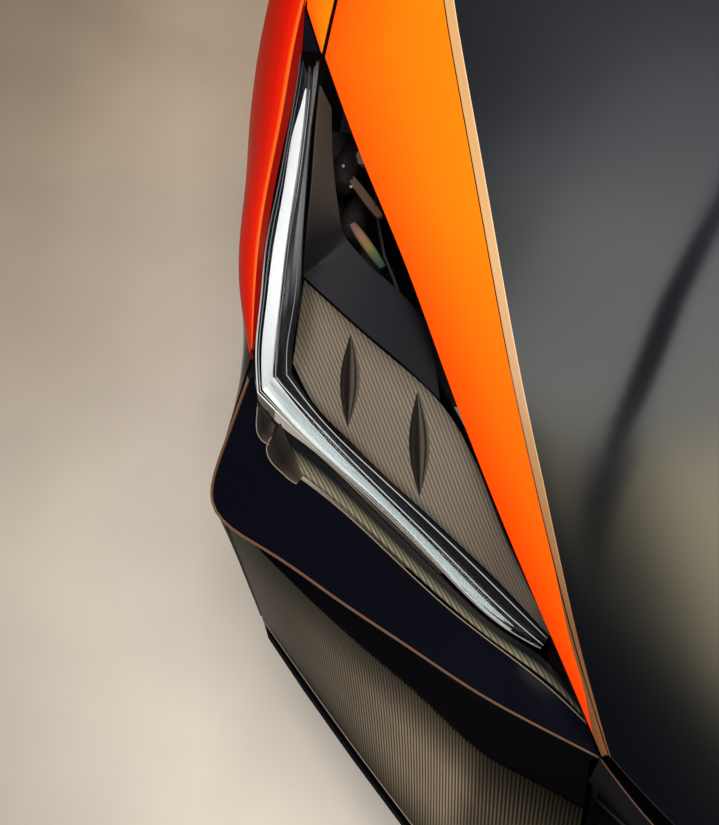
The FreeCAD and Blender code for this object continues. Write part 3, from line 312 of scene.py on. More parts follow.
cameraValues = {
    "place": (-0.4955, -2.0608, 1.5643),
    "azimuth": 12.0,
    "elevation": 50.0,
    "lens": 74.18,  # mm on a sensor of the next width
    "sensor": 36,
    "nearest": 0.05,
}


def cameraAxes():
    turn, lift = math.radians(cameraValues["azimuth"]), math.radians(cameraValues["elevation"])
    ahead = np.array([-math.sin(turn) * math.cos(lift), math.cos(turn) * math.cos(lift),
                      -math.sin(lift)])
    right = np.array([math.cos(turn), math.sin(turn), 0])
    return right, np.cross(right, ahead), ahead


def ribDirection(picture, face, side):
    # the direction on a surface that looks like (x, y) in the photograph's view, on the right side;
    # the face is the left side's
    right, up, ahead = cameraAxes()
    wanted = right * picture[0] + up * picture[1]
    normal = np.array(face, float) * (-1, 1, 1)
    flat = wanted - ahead * (wanted @ normal) / (ahead @ normal)
    return unit(flat) * np.array([-side, 1, 1])


def makeCamera():
    data = bpy.data.cameras.new("view")
    data.lens = cameraValues["lens"]
    data.sensor_width = cameraValues["sensor"]
    data.clip_start = cameraValues["nearest"]
    thing = linked("view", data)
    thing.location = cameraValues["place"]
    thing.rotation_euler = Vector(cameraAxes()[2]).to_track_quat("-Z", "Y").to_euler()
    bpy.context.scene.camera = thing


makeCamera()
print("camera set")


# Shader helpers
def feed(node, inputs):
    # each input, by name or index, is linked to a socket or set to a value
    for key, value in inputs.items():
        socket = node.inputs[key]
        if isinstance(value, bpy.types.NodeSocket):
            node.id_data.links.new(value, socket)
        else:
            socket.default_value = (*value[:3], 1) if socket.type == "RGBA" else value
    return node


layout = {"columns": 8, "wide": 220, "high": 320}


def nodeIn(tree, kind, inputs=None, **settings):
    # the nodes of a tree lie in rows, in the order in which they are made
    node = tree.nodes.new(kind)
    row, column = divmod(len(tree.nodes) - 1, layout["columns"])
    node.location = (column * layout["wide"], -row * layout["high"])
    for key, value in settings.items():
        setattr(node, key, value)
    return feed(node, inputs or {})


def addSockets(tree, way, sockets):
    # sockets: (name, kind, default)
    for label, kind, default in sockets:
        socket = tree.interface.new_socket(name=label, in_out=way, socket_type="NodeSocket" + kind)
        if default is not None:
            socket.default_value = default


def newGroup(name, inputs, outputs):
    # inputs: name to default, where none stands for a vector and a tuple for a colour
    tree = bpy.data.node_groups.new(name, "ShaderNodeTree")
    kinds = {type(None): "Vector", tuple: "Color", float: "Float"}
    addSockets(tree, "INPUT", [(label, kinds[type(value)], value) for label, value in inputs.items()])
    addSockets(tree, "OUTPUT", [(label, "Color" if label == "Color" else "Float", None) for label in outputs])
    end = nodeIn(tree, "NodeGroupOutput")
    return tree, nodeIn(tree, "NodeGroupInput").outputs, end


def mathNode(tree, operation, *values):
    return nodeIn(tree, "ShaderNodeMath", inputs=dict(enumerate(values)), operation=operation).outputs[0]


def mixColour(tree, factor, first, second, blend="MIX"):
    inputs = {0: factor, 6: first, 7: second}
    return nodeIn(tree, "ShaderNodeMix", inputs, data_type="RGBA", blend_type=blend).outputs[2]


def multiplied(tree, first, second):
    return mixColour(tree, 1.0, first, second, "MULTIPLY")


def greyNode(tree, value):
    return nodeIn(tree, "ShaderNodeCombineColor", {0: value, 1: value, 2: value}).outputs[0]


def noiseNode(tree, **inputs):
    return nodeIn(tree, "ShaderNodeTexNoise", inputs).outputs["Fac"]


twill = {  # pairs: factor and start of a value that follows the height or the fibre
    "fibre": (9, 0.7),  # scale of the noise across and along a tow
    "heightShade": (0.25, 0.8),
    "fibreShade": (0.5, 0.75),
    "roughness": (0.3, 0.25),
}
bumps = {"paint": (0.02, 0.0002), "weave": (0.12, 0.0003)}  # strength and distance


def makeTwillGroup():
    # a two by two twill: tows cross at right angles and their floats line up as ribs
    tree, given, end = newGroup("twillWeave", {
        "Rib Map": None, "Tow Width": 0.003, "Light Tow": (0.2, 0.18, 0.15, 1),
        "Dark Tow": (0.02, 0.02, 0.02, 1)}, ("Color", "Height", "Roughness"))
    parts = nodeIn(tree, "ShaderNodeSeparateXYZ", {0: given["Rib Map"]}).outputs
    width = mathNode(tree, "MULTIPLY", given["Tow Width"], math.sqrt(2))
    warp = mathNode(tree, "DIVIDE", mathNode(tree, "ADD", parts[1], parts[0]), width)
    weft = mathNode(tree, "DIVIDE", mathNode(tree, "SUBTRACT", parts[1], parts[0]), width)
    cells = mathNode(tree, "ADD", mathNode(tree, "FLOOR", warp), mathNode(tree, "FLOOR", weft))
    onTop = mathNode(tree, "LESS_THAN", mathNode(tree, "FLOORED_MODULO", cells, 4), 2)
    rounds, fibres = [], []
    for along, across in ((warp, weft), (weft, warp)):
        angle = mathNode(tree, "MULTIPLY", mathNode(tree, "FRACT", along), math.pi)
        rounds.append(mathNode(tree, "SINE", angle))
        stretched = nodeIn(tree, "ShaderNodeCombineXYZ", inputs={
            index: mathNode(tree, "MULTIPLY", way, twill["fibre"][index])
            for index, way in enumerate((along, across))})
        fibres.append(noiseNode(tree, Scale=1, Detail=2, Vector=stretched.outputs[0]))
    height, fibre = [nodeIn(tree, "ShaderNodeMix", inputs={0: onTop, 2: weftOne, 3: warpOne},
                            data_type="FLOAT").outputs[0] for warpOne, weftOne in (rounds, fibres)]
    shade = mathNode(tree, "MULTIPLY", mathNode(tree, "MULTIPLY_ADD", height, *twill["heightShade"]),
                     mathNode(tree, "MULTIPLY_ADD", fibre, *twill["fibreShade"]))
    colour = mixColour(tree, onTop, given["Light Tow"], given["Dark Tow"])
    feed(end, {"Color": multiplied(tree, colour, greyNode(tree, shade)), "Height": height,
               "Roughness": mathNode(tree, "MULTIPLY_ADD", fibre, *twill["roughness"])})
    return tree


def makeFlakeGroup():
    # fine metal flake and a soft wave in the paint
    tree, given, end = newGroup("paintFlake", {"Place": None, "Flake Size": 0.0006, "Strength": 0.1},
                                ("Tint", "Height"))
    cells = nodeIn(tree, "ShaderNodeTexVoronoi", {
        "Vector": given["Place"], "Scale": mathNode(tree, "DIVIDE", 1.0, given["Flake Size"])})
    tone = nodeIn(tree, "ShaderNodeSeparateColor", {0: cells.outputs["Color"]}).outputs[0]
    centred = mathNode(tree, "SUBTRACT", tone, 0.5)
    feed(end, {"Tint": mathNode(tree, "MULTIPLY_ADD", centred, given["Strength"], 1),
               "Height": noiseNode(tree, Scale=380, Vector=given["Place"])})
    return tree


def makeGrainGroup():
    # moulded or cast grain with a slight change of tone
    tree, given, end = newGroup("fineGrain", {
        "Place": None, "Grain Size": 0.001, "Base": (0.05, 0.05, 0.05, 1), "Change": 0.2,
        "Roughness Low": 0.4, "Roughness High": 0.6}, ("Color", "Roughness", "Height"))
    scale = mathNode(tree, "DIVIDE", 1.0, given["Grain Size"])
    fine = noiseNode(tree, Detail=3, Scale=scale, Vector=given["Place"])
    broad = noiseNode(tree, Detail=4, Scale=7, Vector=given["Place"])
    tone = mathNode(tree, "MULTIPLY_ADD", mathNode(tree, "SUBTRACT", broad, 0.5), given["Change"], 1)
    rough = nodeIn(tree, "ShaderNodeMapRange", inputs={
        0: fine, 3: given["Roughness Low"], 4: given["Roughness High"]})
    feed(end, {"Color": multiplied(tree, given["Base"], greyNode(tree, tone)),
               "Roughness": rough.outputs[0], "Height": fine})
    return tree


groups = {"twill": makeTwillGroup(), "flake": makeFlakeGroup(), "grain": makeGrainGroup()}
materials = {}


def newMaterial(name):
    made = bpy.data.materials.new(name)
    made.use_nodes = True
    tree = made.node_tree
    tree.nodes.clear()
    shader = nodeIn(tree, "ShaderNodeBsdfPrincipled")
    nodeIn(tree, "ShaderNodeOutputMaterial", {0: shader.outputs[0]})
    materials[name] = made
    return tree, shader


def groupNode(tree, key, inputs):
    return nodeIn(tree, "ShaderNodeGroup", inputs, node_tree=groups[key]).outputs


def objectPlace(tree):
    return nodeIn(tree, "ShaderNodeTexCoord").outputs["Object"]


def bumpInto(tree, shader, height, strength, distance):
    bump = nodeIn(tree, "ShaderNodeBump", {"Height": height, "Strength": strength, "Distance": distance})
    feed(shader, {"Normal": bump.outputs[0]})


def addGrain(tree, shader, base, roughness, size, change):
    # base colour and roughness with a fine grain
    grain = groupNode(tree, "grain", {
        "Place": objectPlace(tree), "Base": base, "Grain Size": size, "Change": change,
        "Roughness Low": roughness[0], "Roughness High": roughness[1]})
    feed(shader, {"Base Color": grain["Color"], "Roughness": grain["Roughness"]})
    return grain


def grainMaterial(name, colour, roughness, grain=0.001, metallic=0.0, bump=0.15, change=0.25, rise=0.3):
    # rise: height of the bumps as a share of the grain's size
    tree, shader = newMaterial(name)
    height = addGrain(tree, shader, colour, roughness, grain, change)["Height"]
    feed(shader, {"Metallic": metallic})
    bumpInto(tree, shader, height, bump, grain * rise)


def rampNode(tree, value, stops):
    node = nodeIn(tree, "ShaderNodeValToRGB", {0: value})
    ramp = node.color_ramp
    ramp.elements.remove(ramp.elements[1])
    ramp.elements[0].position = stops[0][0]
    ramp.elements[0].color = (*stops[0][1], 1)
    for position, colour in stops[1:]:
        ramp.elements.new(position).color = (*colour, 1)
    return node.outputs[0]


def mapParts(tree, mapName):
    # the two values of a map: across and along the piece
    source = nodeIn(tree, "ShaderNodeUVMap", uv_map=mapName)
    return nodeIn(tree, "ShaderNodeSeparateXYZ", {0: source.outputs[0]}).outputs


def grey(*values):
    return [(place, (value, value, value)) for place, value in values]


plain = grey((0, 1))
orangePaint = {
    # the blade's tones on one orange paint: lighter beside the stripe is a painted highlight, darker towards
    # the lamp and the nose is painted shade
    "inner": (1.0, 0.215, 0.0),  # beside the stripe
    "middle": (1.0, 0.18, 0.0),
    "outer": (1.0, 0.085, 0.0),  # towards the lamp
    "nose": (1.0, 0.045, 0.0),
    "band": (0.17, 0.072, 0.03),  # the stripe crosses onto the blade near the nose
    "bandReach": grey((0.775, 0.0), (0.835, 0.22), (0.86, 0.27), (0.885, 0.5), (0.92, 0.75), (0.95, 1.0)),
    # the wing's tones on one orange paint: the dark inner return is painted shade, the bright crest a painted
    # highlight, and the darkening from shoulder to hem painted shade
    "return": (0.24, 0.002, 0.0),  # the wing's inner return, beside the lamp
    "crest": (1.0, 0.15, 0.015),
    "shoulder": (0.9, 0.016, 0.0),
    "flank": (0.66, 0.006, 0.0),
    "low": (0.45, 0.01, 0.002),
    "hem": (0.4, 0.012, 0.003),
}


def paintBase(tree, shader, colour, flake, looks):
    speck = groupNode(tree, "flake", {"Strength": flake, "Place": objectPlace(tree)})
    tint = greyNode(tree, speck["Tint"])
    feed(shader, {"Base Color": multiplied(tree, colour, tint), **looks})
    bumpInto(tree, shader, speck["Height"], *bumps["paint"])


def bladePaint():
    tree, shader = newMaterial("orangeBlade")
    across, along = mapParts(tree, "share")[:2]
    # painted highlight beside the stripe, painted shade towards the lamp and the nose
    colour = rampNode(tree, across, [(0.0, orangePaint["inner"]), (0.4, orangePaint["middle"]),
                                     (1.0, orangePaint["outer"])])
    toNose = rampNode(tree, along, grey((0.45, 0), (0.95, 1)))
    colour = mixColour(tree, toNose, colour, orangePaint["nose"])
    limit = rampNode(tree, along, orangePaint["bandReach"])
    colour = mixColour(tree, mathNode(tree, "LESS_THAN", across, limit), colour, orangePaint["band"])
    paintBase(tree, shader, colour, 0.05, {"Roughness": 0.5, "Specular IOR Level": 0.1})


def wingPaint():
    tree, shader = newMaterial("orangeWing")
    # painted shade on the return, a painted highlight on the crest, painted shade down the flank to the hem
    stops = {0.0: "return", 0.125: "return", 0.14: "crest", 0.165: "crest", 0.2: "shoulder", 0.34: "flank",
             0.55: "low", 1.0: "hem"}
    colour = rampNode(tree, mapParts(tree, "share")[0],
                      [(place, orangePaint[name]) for place, name in stops.items()])
    paintBase(tree, shader, colour, 0.05, {"Roughness": 0.4, "Coat Weight": 0.03, "Coat Roughness": 0.12,
                                           "Specular IOR Level": 0.08})


blackPaint = {
    "colour": (0.0006, 0.001, 0.0028),
    "roughness": 0.3,
    "coat": 0.9,
    "coatRoughness": 0.24,
    "stripe": (0.66, 0.38, 0.155),
    # painted shade: the stripe's darker tone near the nose; painted highlight: the light line along its inner
    # edge
    "stripeNoseShade": (0.2, 0.085, 0.035),
    "stripeEdgeHighlight": (0.9, 0.62, 0.35),
    "stripeWidth": 12.0,
    "edgeWidth": 1.3,
    "narrowing": grey((0.0, 1), (0.7, 0.95), (0.86, 0.5), (1.0, 0.25)),  # of the stripe, towards the nose
}


def bonnetPaint():
    # satin black with a tan band along each outer edge; the map holds mm from that edge. The band darkens
    # towards the nose, painted shade, and a light line along its inner edge is a painted highlight that fades
    # out there
    tree, shader = newMaterial("bonnetBlack")
    distance, along = mapParts(tree, "edge")[:2]
    narrow = rampNode(tree, along, blackPaint["narrowing"])
    wide = mathNode(tree, "MULTIPLY", narrow, blackPaint["stripeWidth"])
    edge = mathNode(tree, "GREATER_THAN", distance, mathNode(tree, "SUBTRACT", wide, blackPaint["edgeWidth"]))
    # painted shade towards the nose, where the painted edge highlight fades out
    noseShade = rampNode(tree, along, grey((0.5, 0), (0.82, 1)))
    band = mixColour(tree, noseShade, blackPaint["stripe"], blackPaint["stripeNoseShade"])
    edgeHighlight = mathNode(tree, "MULTIPLY", edge, mathNode(tree, "SUBTRACT", 1.0, noseShade))
    band = mixColour(tree, edgeHighlight, band, blackPaint["stripeEdgeHighlight"])
    colour = mixColour(tree, mathNode(tree, "LESS_THAN", distance, wide), blackPaint["colour"], band)
    paintBase(tree, shader, colour, 0.15, {
        "Roughness": blackPaint["roughness"], "Coat Weight": blackPaint["coat"],
        "Coat Roughness": blackPaint["coatRoughness"]})


def glossBlack(name, colour=(0.003, 0.0035, 0.0075), band=None, sheen=(0.16, 0.02, 0.1)):
    # band: a paler strip, a painted reflection, as ramps across and along the piece; sheen: roughness, coat,
    # specular
    tree, shader = newMaterial(name)
    if band:
        across, along = mapParts(tree, "share")[:2]
        strip = multiplied(tree, rampNode(tree, across, band[0]), rampNode(tree, along, band[1]))
        colour = mixColour(tree, 1.0, colour, strip, "ADD")
    looks = {"Roughness": sheen[0], "Coat Weight": sheen[1], "Specular IOR Level": sheen[2]}
    paintBase(tree, shader, colour, 0.3, looks)


def twillMaterial(name, light, dark, across, along, tow=0.0015, coat=0.5, specular=0.35):
    # across and along: ramps that darken the weave over the piece, as painted shade and sheen
    tree, shader = newMaterial(name)
    ribMap = nodeIn(tree, "ShaderNodeUVMap", uv_map="metres").outputs[0]
    weave = groupNode(tree, "twill", {
        "Rib Map": ribMap, "Tow Width": tow, "Light Tow": light, "Dark Tow": dark})
    colour = weave["Color"]
    for part, stops in zip(mapParts(tree, "share"), (across, along)):
        colour = multiplied(tree, colour, rampNode(tree, part, stops))
    feed(shader, {"Base Color": colour, "Roughness": weave["Roughness"], "Coat Weight": coat,
                  "Coat Roughness": 0.08, "Specular IOR Level": specular})
    bumpInto(tree, shader, weave["Height"], *bumps["weave"])


def clearPlastic(name, tint):
    # lets light through without a shadow
    tree, shader = newMaterial(name)
    wave = noiseNode(tree, Scale=25, Vector=objectPlace(tree))
    rough = nodeIn(tree, "ShaderNodeMapRange", {0: wave, 3: 0.0, 4: 0.03})
    feed(shader, {"Roughness": rough.outputs[0], "Base Color": tint, "Transmission Weight": 1.0,
                  "IOR": 1.15})
    clear = nodeIn(tree, "ShaderNodeBsdfTransparent")
    ray = nodeIn(tree, "ShaderNodeLightPath")
    mixer = nodeIn(tree, "ShaderNodeMixShader", {
        0: ray.outputs["Is Shadow Ray"], 1: shader.outputs[0], 2: clear.outputs[0]})
    output = [node for node in tree.nodes if node.type == "OUTPUT_MATERIAL"][0]
    feed(output, {0: mixer.outputs[0]})


def sharePaint(name, across, along, roughness=(0.3, 0.45), glow=0.0, grain=0.003, change=0.12, specular=0.5):
    # a colour that changes across and along a piece, with a fine grain; glow lights it from inside
    tree, shader = newMaterial(name)
    parts = mapParts(tree, "share")
    colour = multiplied(tree, rampNode(tree, parts[0], across), rampNode(tree, parts[1], along))
    grained = addGrain(tree, shader, colour, roughness, grain, change)
    feed(shader, {"Specular IOR Level": specular})
    if glow:
        feed(shader, {"Emission Color": grained["Color"], "Emission Strength": glow})


bladePaint()
wingPaint()
bonnetPaint()
glossBlack("glossBlack")
glossBlack("barBlack", sheen=(0.5, 0.0, 0.02))
glossBlack("undercutBlack", (0.0015, 0.002, 0.004), sheen=(0.6, 0.0, 0.01))
# the paler strip on the bezel's slope is a painted reflection
glossBlack("bezelBlack", sheen=(0.25, 0.1, 0.3), band=(
    grey((0.8, 0), (0.84, 0.2), (0.95, 0.24), (0.99, 0)),
    grey((0.0, 0.3), (0.06, 1), (0.3, 0.9), (0.42, 0.05), (1, 0.02))))
# painted shade: darker along both long edges, the high one under the blade's edge, and towards the nose end
twillMaterial("twillPlate", (0.235, 0.203, 0.165), (0.115, 0.096, 0.075),
              grey((0.0, 0.45), (0.1, 0.95), (0.75, 1.0), (0.93, 0.8), (1.0, 0.5)),
              grey((0.0, 0.8), (0.1, 1.0), (0.55, 1.0), (0.8, 0.62), (1.0, 0.35)))
# painted shade: dark under the lip, at the foot and at both ends, with full tone in the middle
twillMaterial("twillChin", (0.36, 0.295, 0.21), (0.06, 0.046, 0.033),
              grey((0.0, 0.15), (0.14, 0.4), (0.35, 1.0), (0.65, 0.9), (0.88, 0.35), (1.0, 0.15)),
              grey((0.0, 0.1), (0.12, 0.2), (0.3, 0.5), (0.45, 0.9), (0.62, 1.0), (0.7, 0.32), (1.0, 0.2)),
              tow=0.0017, coat=0.0, specular=0.1)
# painted shade and reflection: blue-black towards the lens; painted sheen: full tone in a band near the low
# edge
twillMaterial("twillSill", (0.3, 0.28, 0.2), (0.12, 0.11, 0.078),
              [(0.0, (0.02, 0.03, 0.06)), (0.3, (0.03, 0.05, 0.09)), (0.52, (0.6, 0.62, 0.62)),
               (0.8, (1.0, 1.0, 1.0)), (0.93, (0.5, 0.45, 0.4)), (1.0, (0.05, 0.05, 0.05))],
              grey((0.0, 0.3), (0.1, 0.9), (0.75, 0.9), (1.0, 0.35)))
clearPlastic("clearCover", (0.97, 0.98, 1.0))
# the white bands along both edges of the strip are painted highlights, and it darkens towards its far end,
# painted shade
sharePaint("lightGuide", [(0.0, (1.0, 1.0, 1.0)), (0.24, (1.0, 1.0, 1.0)), (0.3, (0.62, 0.66, 0.68)),
                          (0.9, (0.55, 0.6, 0.62)), (0.96, (1.0, 1.0, 1.0))],
           [(0.0, (0.62, 0.64, 0.65)), (0.15, (0.4, 0.43, 0.44)), (1.0, (0.25, 0.28, 0.29))],
           (0.5, 0.65), 0.02, specular=0.1)
sharePaint("lightGuideUpper", grey((0.0, 0.9), (1.0, 0.97)),
           [(0.0, (0.4, 0.42, 0.44)), (1.0, (0.43, 0.46, 0.48))], (0.4, 0.55), 0.14, specular=0.2)
# the bright stretches of these lens and bezel edge lines are painted highlights
sharePaint("coverEdge", plain, [(0.0, (0.05, 0.05, 0.055)), (0.3, (0.1, 0.1, 0.11)), (0.5, (0.6, 0.66, 0.7)),
                                (0.62, (0.75, 0.8, 0.83)), (0.72, (0.3, 0.28, 0.26)),
                                (1.0, (0.2, 0.17, 0.15))], (0.15, 0.3))
sharePaint("innerEdge", plain, [(0.0, (0.05, 0.05, 0.06)), (0.45, (0.16, 0.18, 0.2)),
                                (0.6, (0.5, 0.55, 0.58)), (1.0, (0.42, 0.46, 0.48))], (0.15, 0.3))
# the taupe stretch at the start and the paler band near the middle are painted highlights on a dark satin
# grey
sharePaint("shroudGrey", plain, [
    (0.0, (0.065, 0.054, 0.045)), (0.2, (0.06, 0.05, 0.043)), (0.36, (0.012, 0.012, 0.017)),
    (0.47, (0.01, 0.01, 0.015)), (0.52, (0.022, 0.022, 0.027)), (0.7, (0.012, 0.012, 0.017)),
    (1.0, (0.003, 0.003, 0.006))], (0.38, 0.46), grain=0.0009, specular=0.2)
# the pale streak by the ridge and the pale far edge are painted highlights; the dark flank is painted shade
sharePaint("finTwill", [
    (0.0, (0.03, 0.025, 0.022)), (0.1, (0.007, 0.006, 0.006)), (0.5, (0.01, 0.008, 0.007)),
    (0.56, (0.06, 0.05, 0.042)), (0.64, (0.085, 0.072, 0.06)), (0.7, (0.02, 0.018, 0.018)),
    (0.82, (0.016, 0.014, 0.014)), (0.9, (0.11, 0.094, 0.078))], plain)
sharePaint("reflectorBar", grey((0.0, 0.35), (0.3, 1.0), (0.7, 1.0), (1.0, 0.3)),
           [(0.0, (0.1, 0.06, 0.045)), (0.3, (0.2, 0.09, 0.06)), (0.55, (0.15, 0.12, 0.03)),
            (0.72, (0.05, 0.08, 0.035)), (1.0, (0.012, 0.03, 0.03))], grain=0.0012, change=0.7)
# lighter at its edges and towards its end: painted highlights on the clear lug
sharePaint("smokyClear", grey((0, 0.9), (0.55, 0.45), (1.0, 1.0)),
           [(0.0, (0.03, 0.026, 0.024)), (0.55, (0.022, 0.018, 0.016)), (1.0, (0.08, 0.064, 0.05))],
           (0.3, 0.4))
grainMaterial("prismGlass", (0.26, 0.31, 0.33), (0.3, 0.45), 0.002, bump=0.02)
grainMaterial("mouldedBlack", (0.006, 0.006, 0.008), (0.4, 0.6), 0.0012)
grainMaterial("castMetal", (0.4, 0.41, 0.43), (0.35, 0.55), 0.0015, metallic=1.0)
grainMaterial("lampMetal", (0.02, 0.019, 0.02), (0.2, 0.4), 0.0015, metallic=0.3)
grainMaterial("steel", (0.45, 0.44, 0.43), (0.25, 0.4), metallic=1.0)
grainMaterial("coreMetal", (0.12, 0.12, 0.13), (0.45, 0.6), metallic=0.8)
grainMaterial("rubber", (0.012, 0.012, 0.012), (0.6, 0.8))
grainMaterial("bronzeLine", (0.155, 0.075, 0.045), (0.35, 0.5), bump=0.03)
# thin light lines along the chin's foot, the corner's upper edge and the tabs' edges: painted highlights
grainMaterial("tanLine", (0.26, 0.2, 0.15), (0.35, 0.5), bump=0.03)
grainMaterial("bracketTan", (0.16, 0.115, 0.08), (0.35, 0.5), 0.002)
grainMaterial("bracketBrown", (0.095, 0.055, 0.038), (0.3, 0.45), 0.002)
print("materials:", len(materials))


# Small pieces that repeat, made by one node tree for each form
def makeRepeatTree(name, kind):
    tree = bpy.data.node_groups.new(name, "GeometryNodeTree")
    floats = [(label, "Float", None) for label in ("Length", "Width", "Height")]
    addSockets(tree, "INPUT", [("Points", "Geometry", None), *floats, ("Material", "Material", None)])
    addSockets(tree, "OUTPUT", [("Pieces", "Geometry", None)])
    given, end = nodeIn(tree, "NodeGroupInput").outputs, nodeIn(tree, "NodeGroupOutput")
    if kind == "bar":
        lengths = {0: given["Length"], 1: given["Width"], 2: given["Height"]}
        sizes = nodeIn(tree, "ShaderNodeCombineXYZ", lengths)
        form = nodeIn(tree, "GeometryNodeMeshCube", {"Size": sizes.outputs[0]})
    else:
        radius = mathNode(tree, "MULTIPLY", given["Width"], 0.5)
        lengths = {"Vertices": 6, "Radius": radius, "Depth": given["Height"]}
        form = nodeIn(tree, "GeometryNodeMeshCylinder", lengths)
    turn = nodeIn(tree, "GeometryNodeInputNamedAttribute", {"Name": "turn"}, data_type="FLOAT_VECTOR")
    copies = nodeIn(tree, "GeometryNodeInstanceOnPoints", {
        "Points": given["Points"], "Instance": form.outputs["Mesh"], "Rotation": turn.outputs["Attribute"]})
    real = nodeIn(tree, "GeometryNodeRealizeInstances", {0: copies.outputs[0]})
    paint = nodeIn(tree, "GeometryNodeSetMaterial", {
        "Geometry": real.outputs[0], "Material": given["Material"]})
    feed(end, {0: paint.outputs[0]})
    return tree


repeatTrees = {"bar": makeRepeatTree("repeatedBars", "bar"), "bolt": makeRepeatTree("repeatedBolts", "bolt")}


def dress(thing, material, slot, *nodes, body="front_structure"):
    thing.data.materials.clear()
    thing.data.materials.append(materials[material])
    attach(thing, body)
    if nodes:
        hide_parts(*nodes)
    return thing


def repeated(name, kind, spots, size, material, slot):
    # spots: (place, along, up) for each copy; size: length, width and height in mm
    thing = newObject(name, [place for place, along, up in spots])
    turns = []
    for place, along, up in spots:
        up = unit(np.array(up, float))
        along = unit(np.array(along, float) - up * (np.array(along, float) @ up))
        turns += Matrix((along, np.cross(up, along), up)).transposed().to_euler()[:]
    thing.data.attributes.new("turn", "FLOAT_VECTOR", "POINT").data.foreach_set("vector", turns)
    modifier = thing.modifiers.new("repeat", "NODES")
    modifier.node_group = repeatTrees[kind]
    values = dict(zip(("Length", "Width", "Height"), (value * mm for value in size)))
    values["Material"] = materials[material]
    for item in repeatTrees[kind].interface.items_tree:
        if item.in_out == "INPUT" and item.name in values:
            modifier[item.identifier] = values[item.name]
    return dress(applied(thing), material, slot)


def addBead(name, path, radius, material, slot):
    dress(beadObject(name, path, radius), material, slot)


def addPanel(label, name, grid, face, wall, looks, node=None, edge=0.8, ribs=None, arch=False,
             body="front_structure"):
    # a panel with its mirror image on the other side; face: the left one's; looks: material and slot
    side = sides[label]
    direction = ribDirection(ribs, face, side) if ribs else None
    thing = panelObject(name + "_" + label, grid, (face[0] * side, *face[1:]), wall, edge, direction)
    if arch:
        cutArch(thing, side)
    dress(thing, *looks, *([node + "_" + label] if node else []), body=body)


# Lid
bonnet = {
    "perSpan": 7,
    "columns": 221,
    "wall": 3,
    "inset": 0.6,
    "creaseAt": [0.33, 0.41, 0.51, 0.62, 0.715, 0.825, 0.95, 0.98, 0.99],  # share of the half width
    "creaseDepth": [1.4, 2.4, 2.9, 2.9, 2.9, 2.4, 0.1, 0, 0],
    "creaseRise": 1.25,  # rise of its far side for each mm of depth
    "outerReach": 0.24,  # gentle side of the valley, towards the blade
    "innerReach": 0.062,  # steep side, towards the centre
    "riseReach": 0.3,
}


def creaseDip(shares, at, depth):
    # mm below the plain surface: a gentle fall from the blade, a steep wall, then a low swell
    away = np.abs(shares) - at
    reach = bonnet["innerReach"]
    outer = np.clip(away / min(bonnet["outerReach"], 1 - at + 0.01), 0, 1)
    wall = np.clip(-away / reach, 0, 1)
    swell = np.clip((-away - reach) / min(bonnet["riseReach"], max(at - reach, 0.05)), 0, 1)
    rise = bonnet["creaseRise"]
    beside = (1 + np.cos(np.pi * outer)) / 2
    steep = ((1 + rise) * (1 + np.cos(np.pi * wall)) / 2 - rise) * (1 + np.cos(np.pi * swell)) / 2
    return max(depth, 0) * mm * np.where(away > 0, beside, steep)


def makeBonnet():
    spine, edge = (bodyLine(name, 1, bonnet["perSpan"]) for name in ("spine", "bladeIn"))
    centre = edge * (0, 1, 1)
    shares = np.linspace(-1, 1, bonnet["columns"])
    rows = (spine - centre)[:, None] * (1 - shares ** 2)[:, None] + centre[:, None]
    rows[:, :, 0] = edge[:, :1] * shares
    # the crease as a line of (place, depth, at), with numbers of like size
    stations = [(index * 100.0, depth, at * 100) for index, (depth, at)
                in enumerate(zip(bonnet["creaseDepth"], bonnet["creaseAt"]))]
    dips = np.array([creaseDip(shares, at / 100, depth)
                     for place, depth, at in smoothLine(stations, bonnet["perSpan"])])
    rows -= gridNormals(rows, (0, 0, 1)) * dips[:, :, None]
    grid = insetGrid(rows, bonnet["inset"], bonnet["inset"])
    across = np.pad(np.linalg.norm(np.diff(grid, axis=1), axis=2).cumsum(1) / mm, ((0, 0), (1, 0)))
    edgeMap = gridShares(*grid.shape[:2])
    edgeMap[:, 0] = np.minimum(across, across[:, -1:] - across).ravel()
    thing = panelObject("bonnetSkin", grid, (0, 0, 1), bonnet["wall"], maps={"edge": edgeMap})
    dress(thing, "bonnetBlack", "black_paint", "bonnet_skin", body="bonnet_lid")


blade = {"crown": 3.0, "perSpan": 7, "wall": 3, "inset": 0.6, "steps": 12, "corner": 2}


def makeBlade(label, side):
    inner = bodyLine("bladeIn", side, blade["perSpan"])
    outer = bodyLine("brow", side, blade["perSpan"], blade["corner"])
    grid = insetGrid(ruledGrid(inner, outer, blade["steps"], blade["crown"]), blade["inset"])
    addPanel(label, "blade", grid, (0.3, -0.3, 1), blade["wall"], ("orangeBlade", "orange_paint"),
             "bonnet_blade", body="bonnet_lid")


# Wing and bumper
wing = {
    "perSpan": 8,
    "stripSteps": 4,
    "flankSteps": 12,
    "wall": 3,
    "arch": (1000, 345, 372),  # back, up and radius
    "archReach": (620, 1200),  # from the centre plane
    "archSteps": 96,
    "sharpFrom": 35,
}


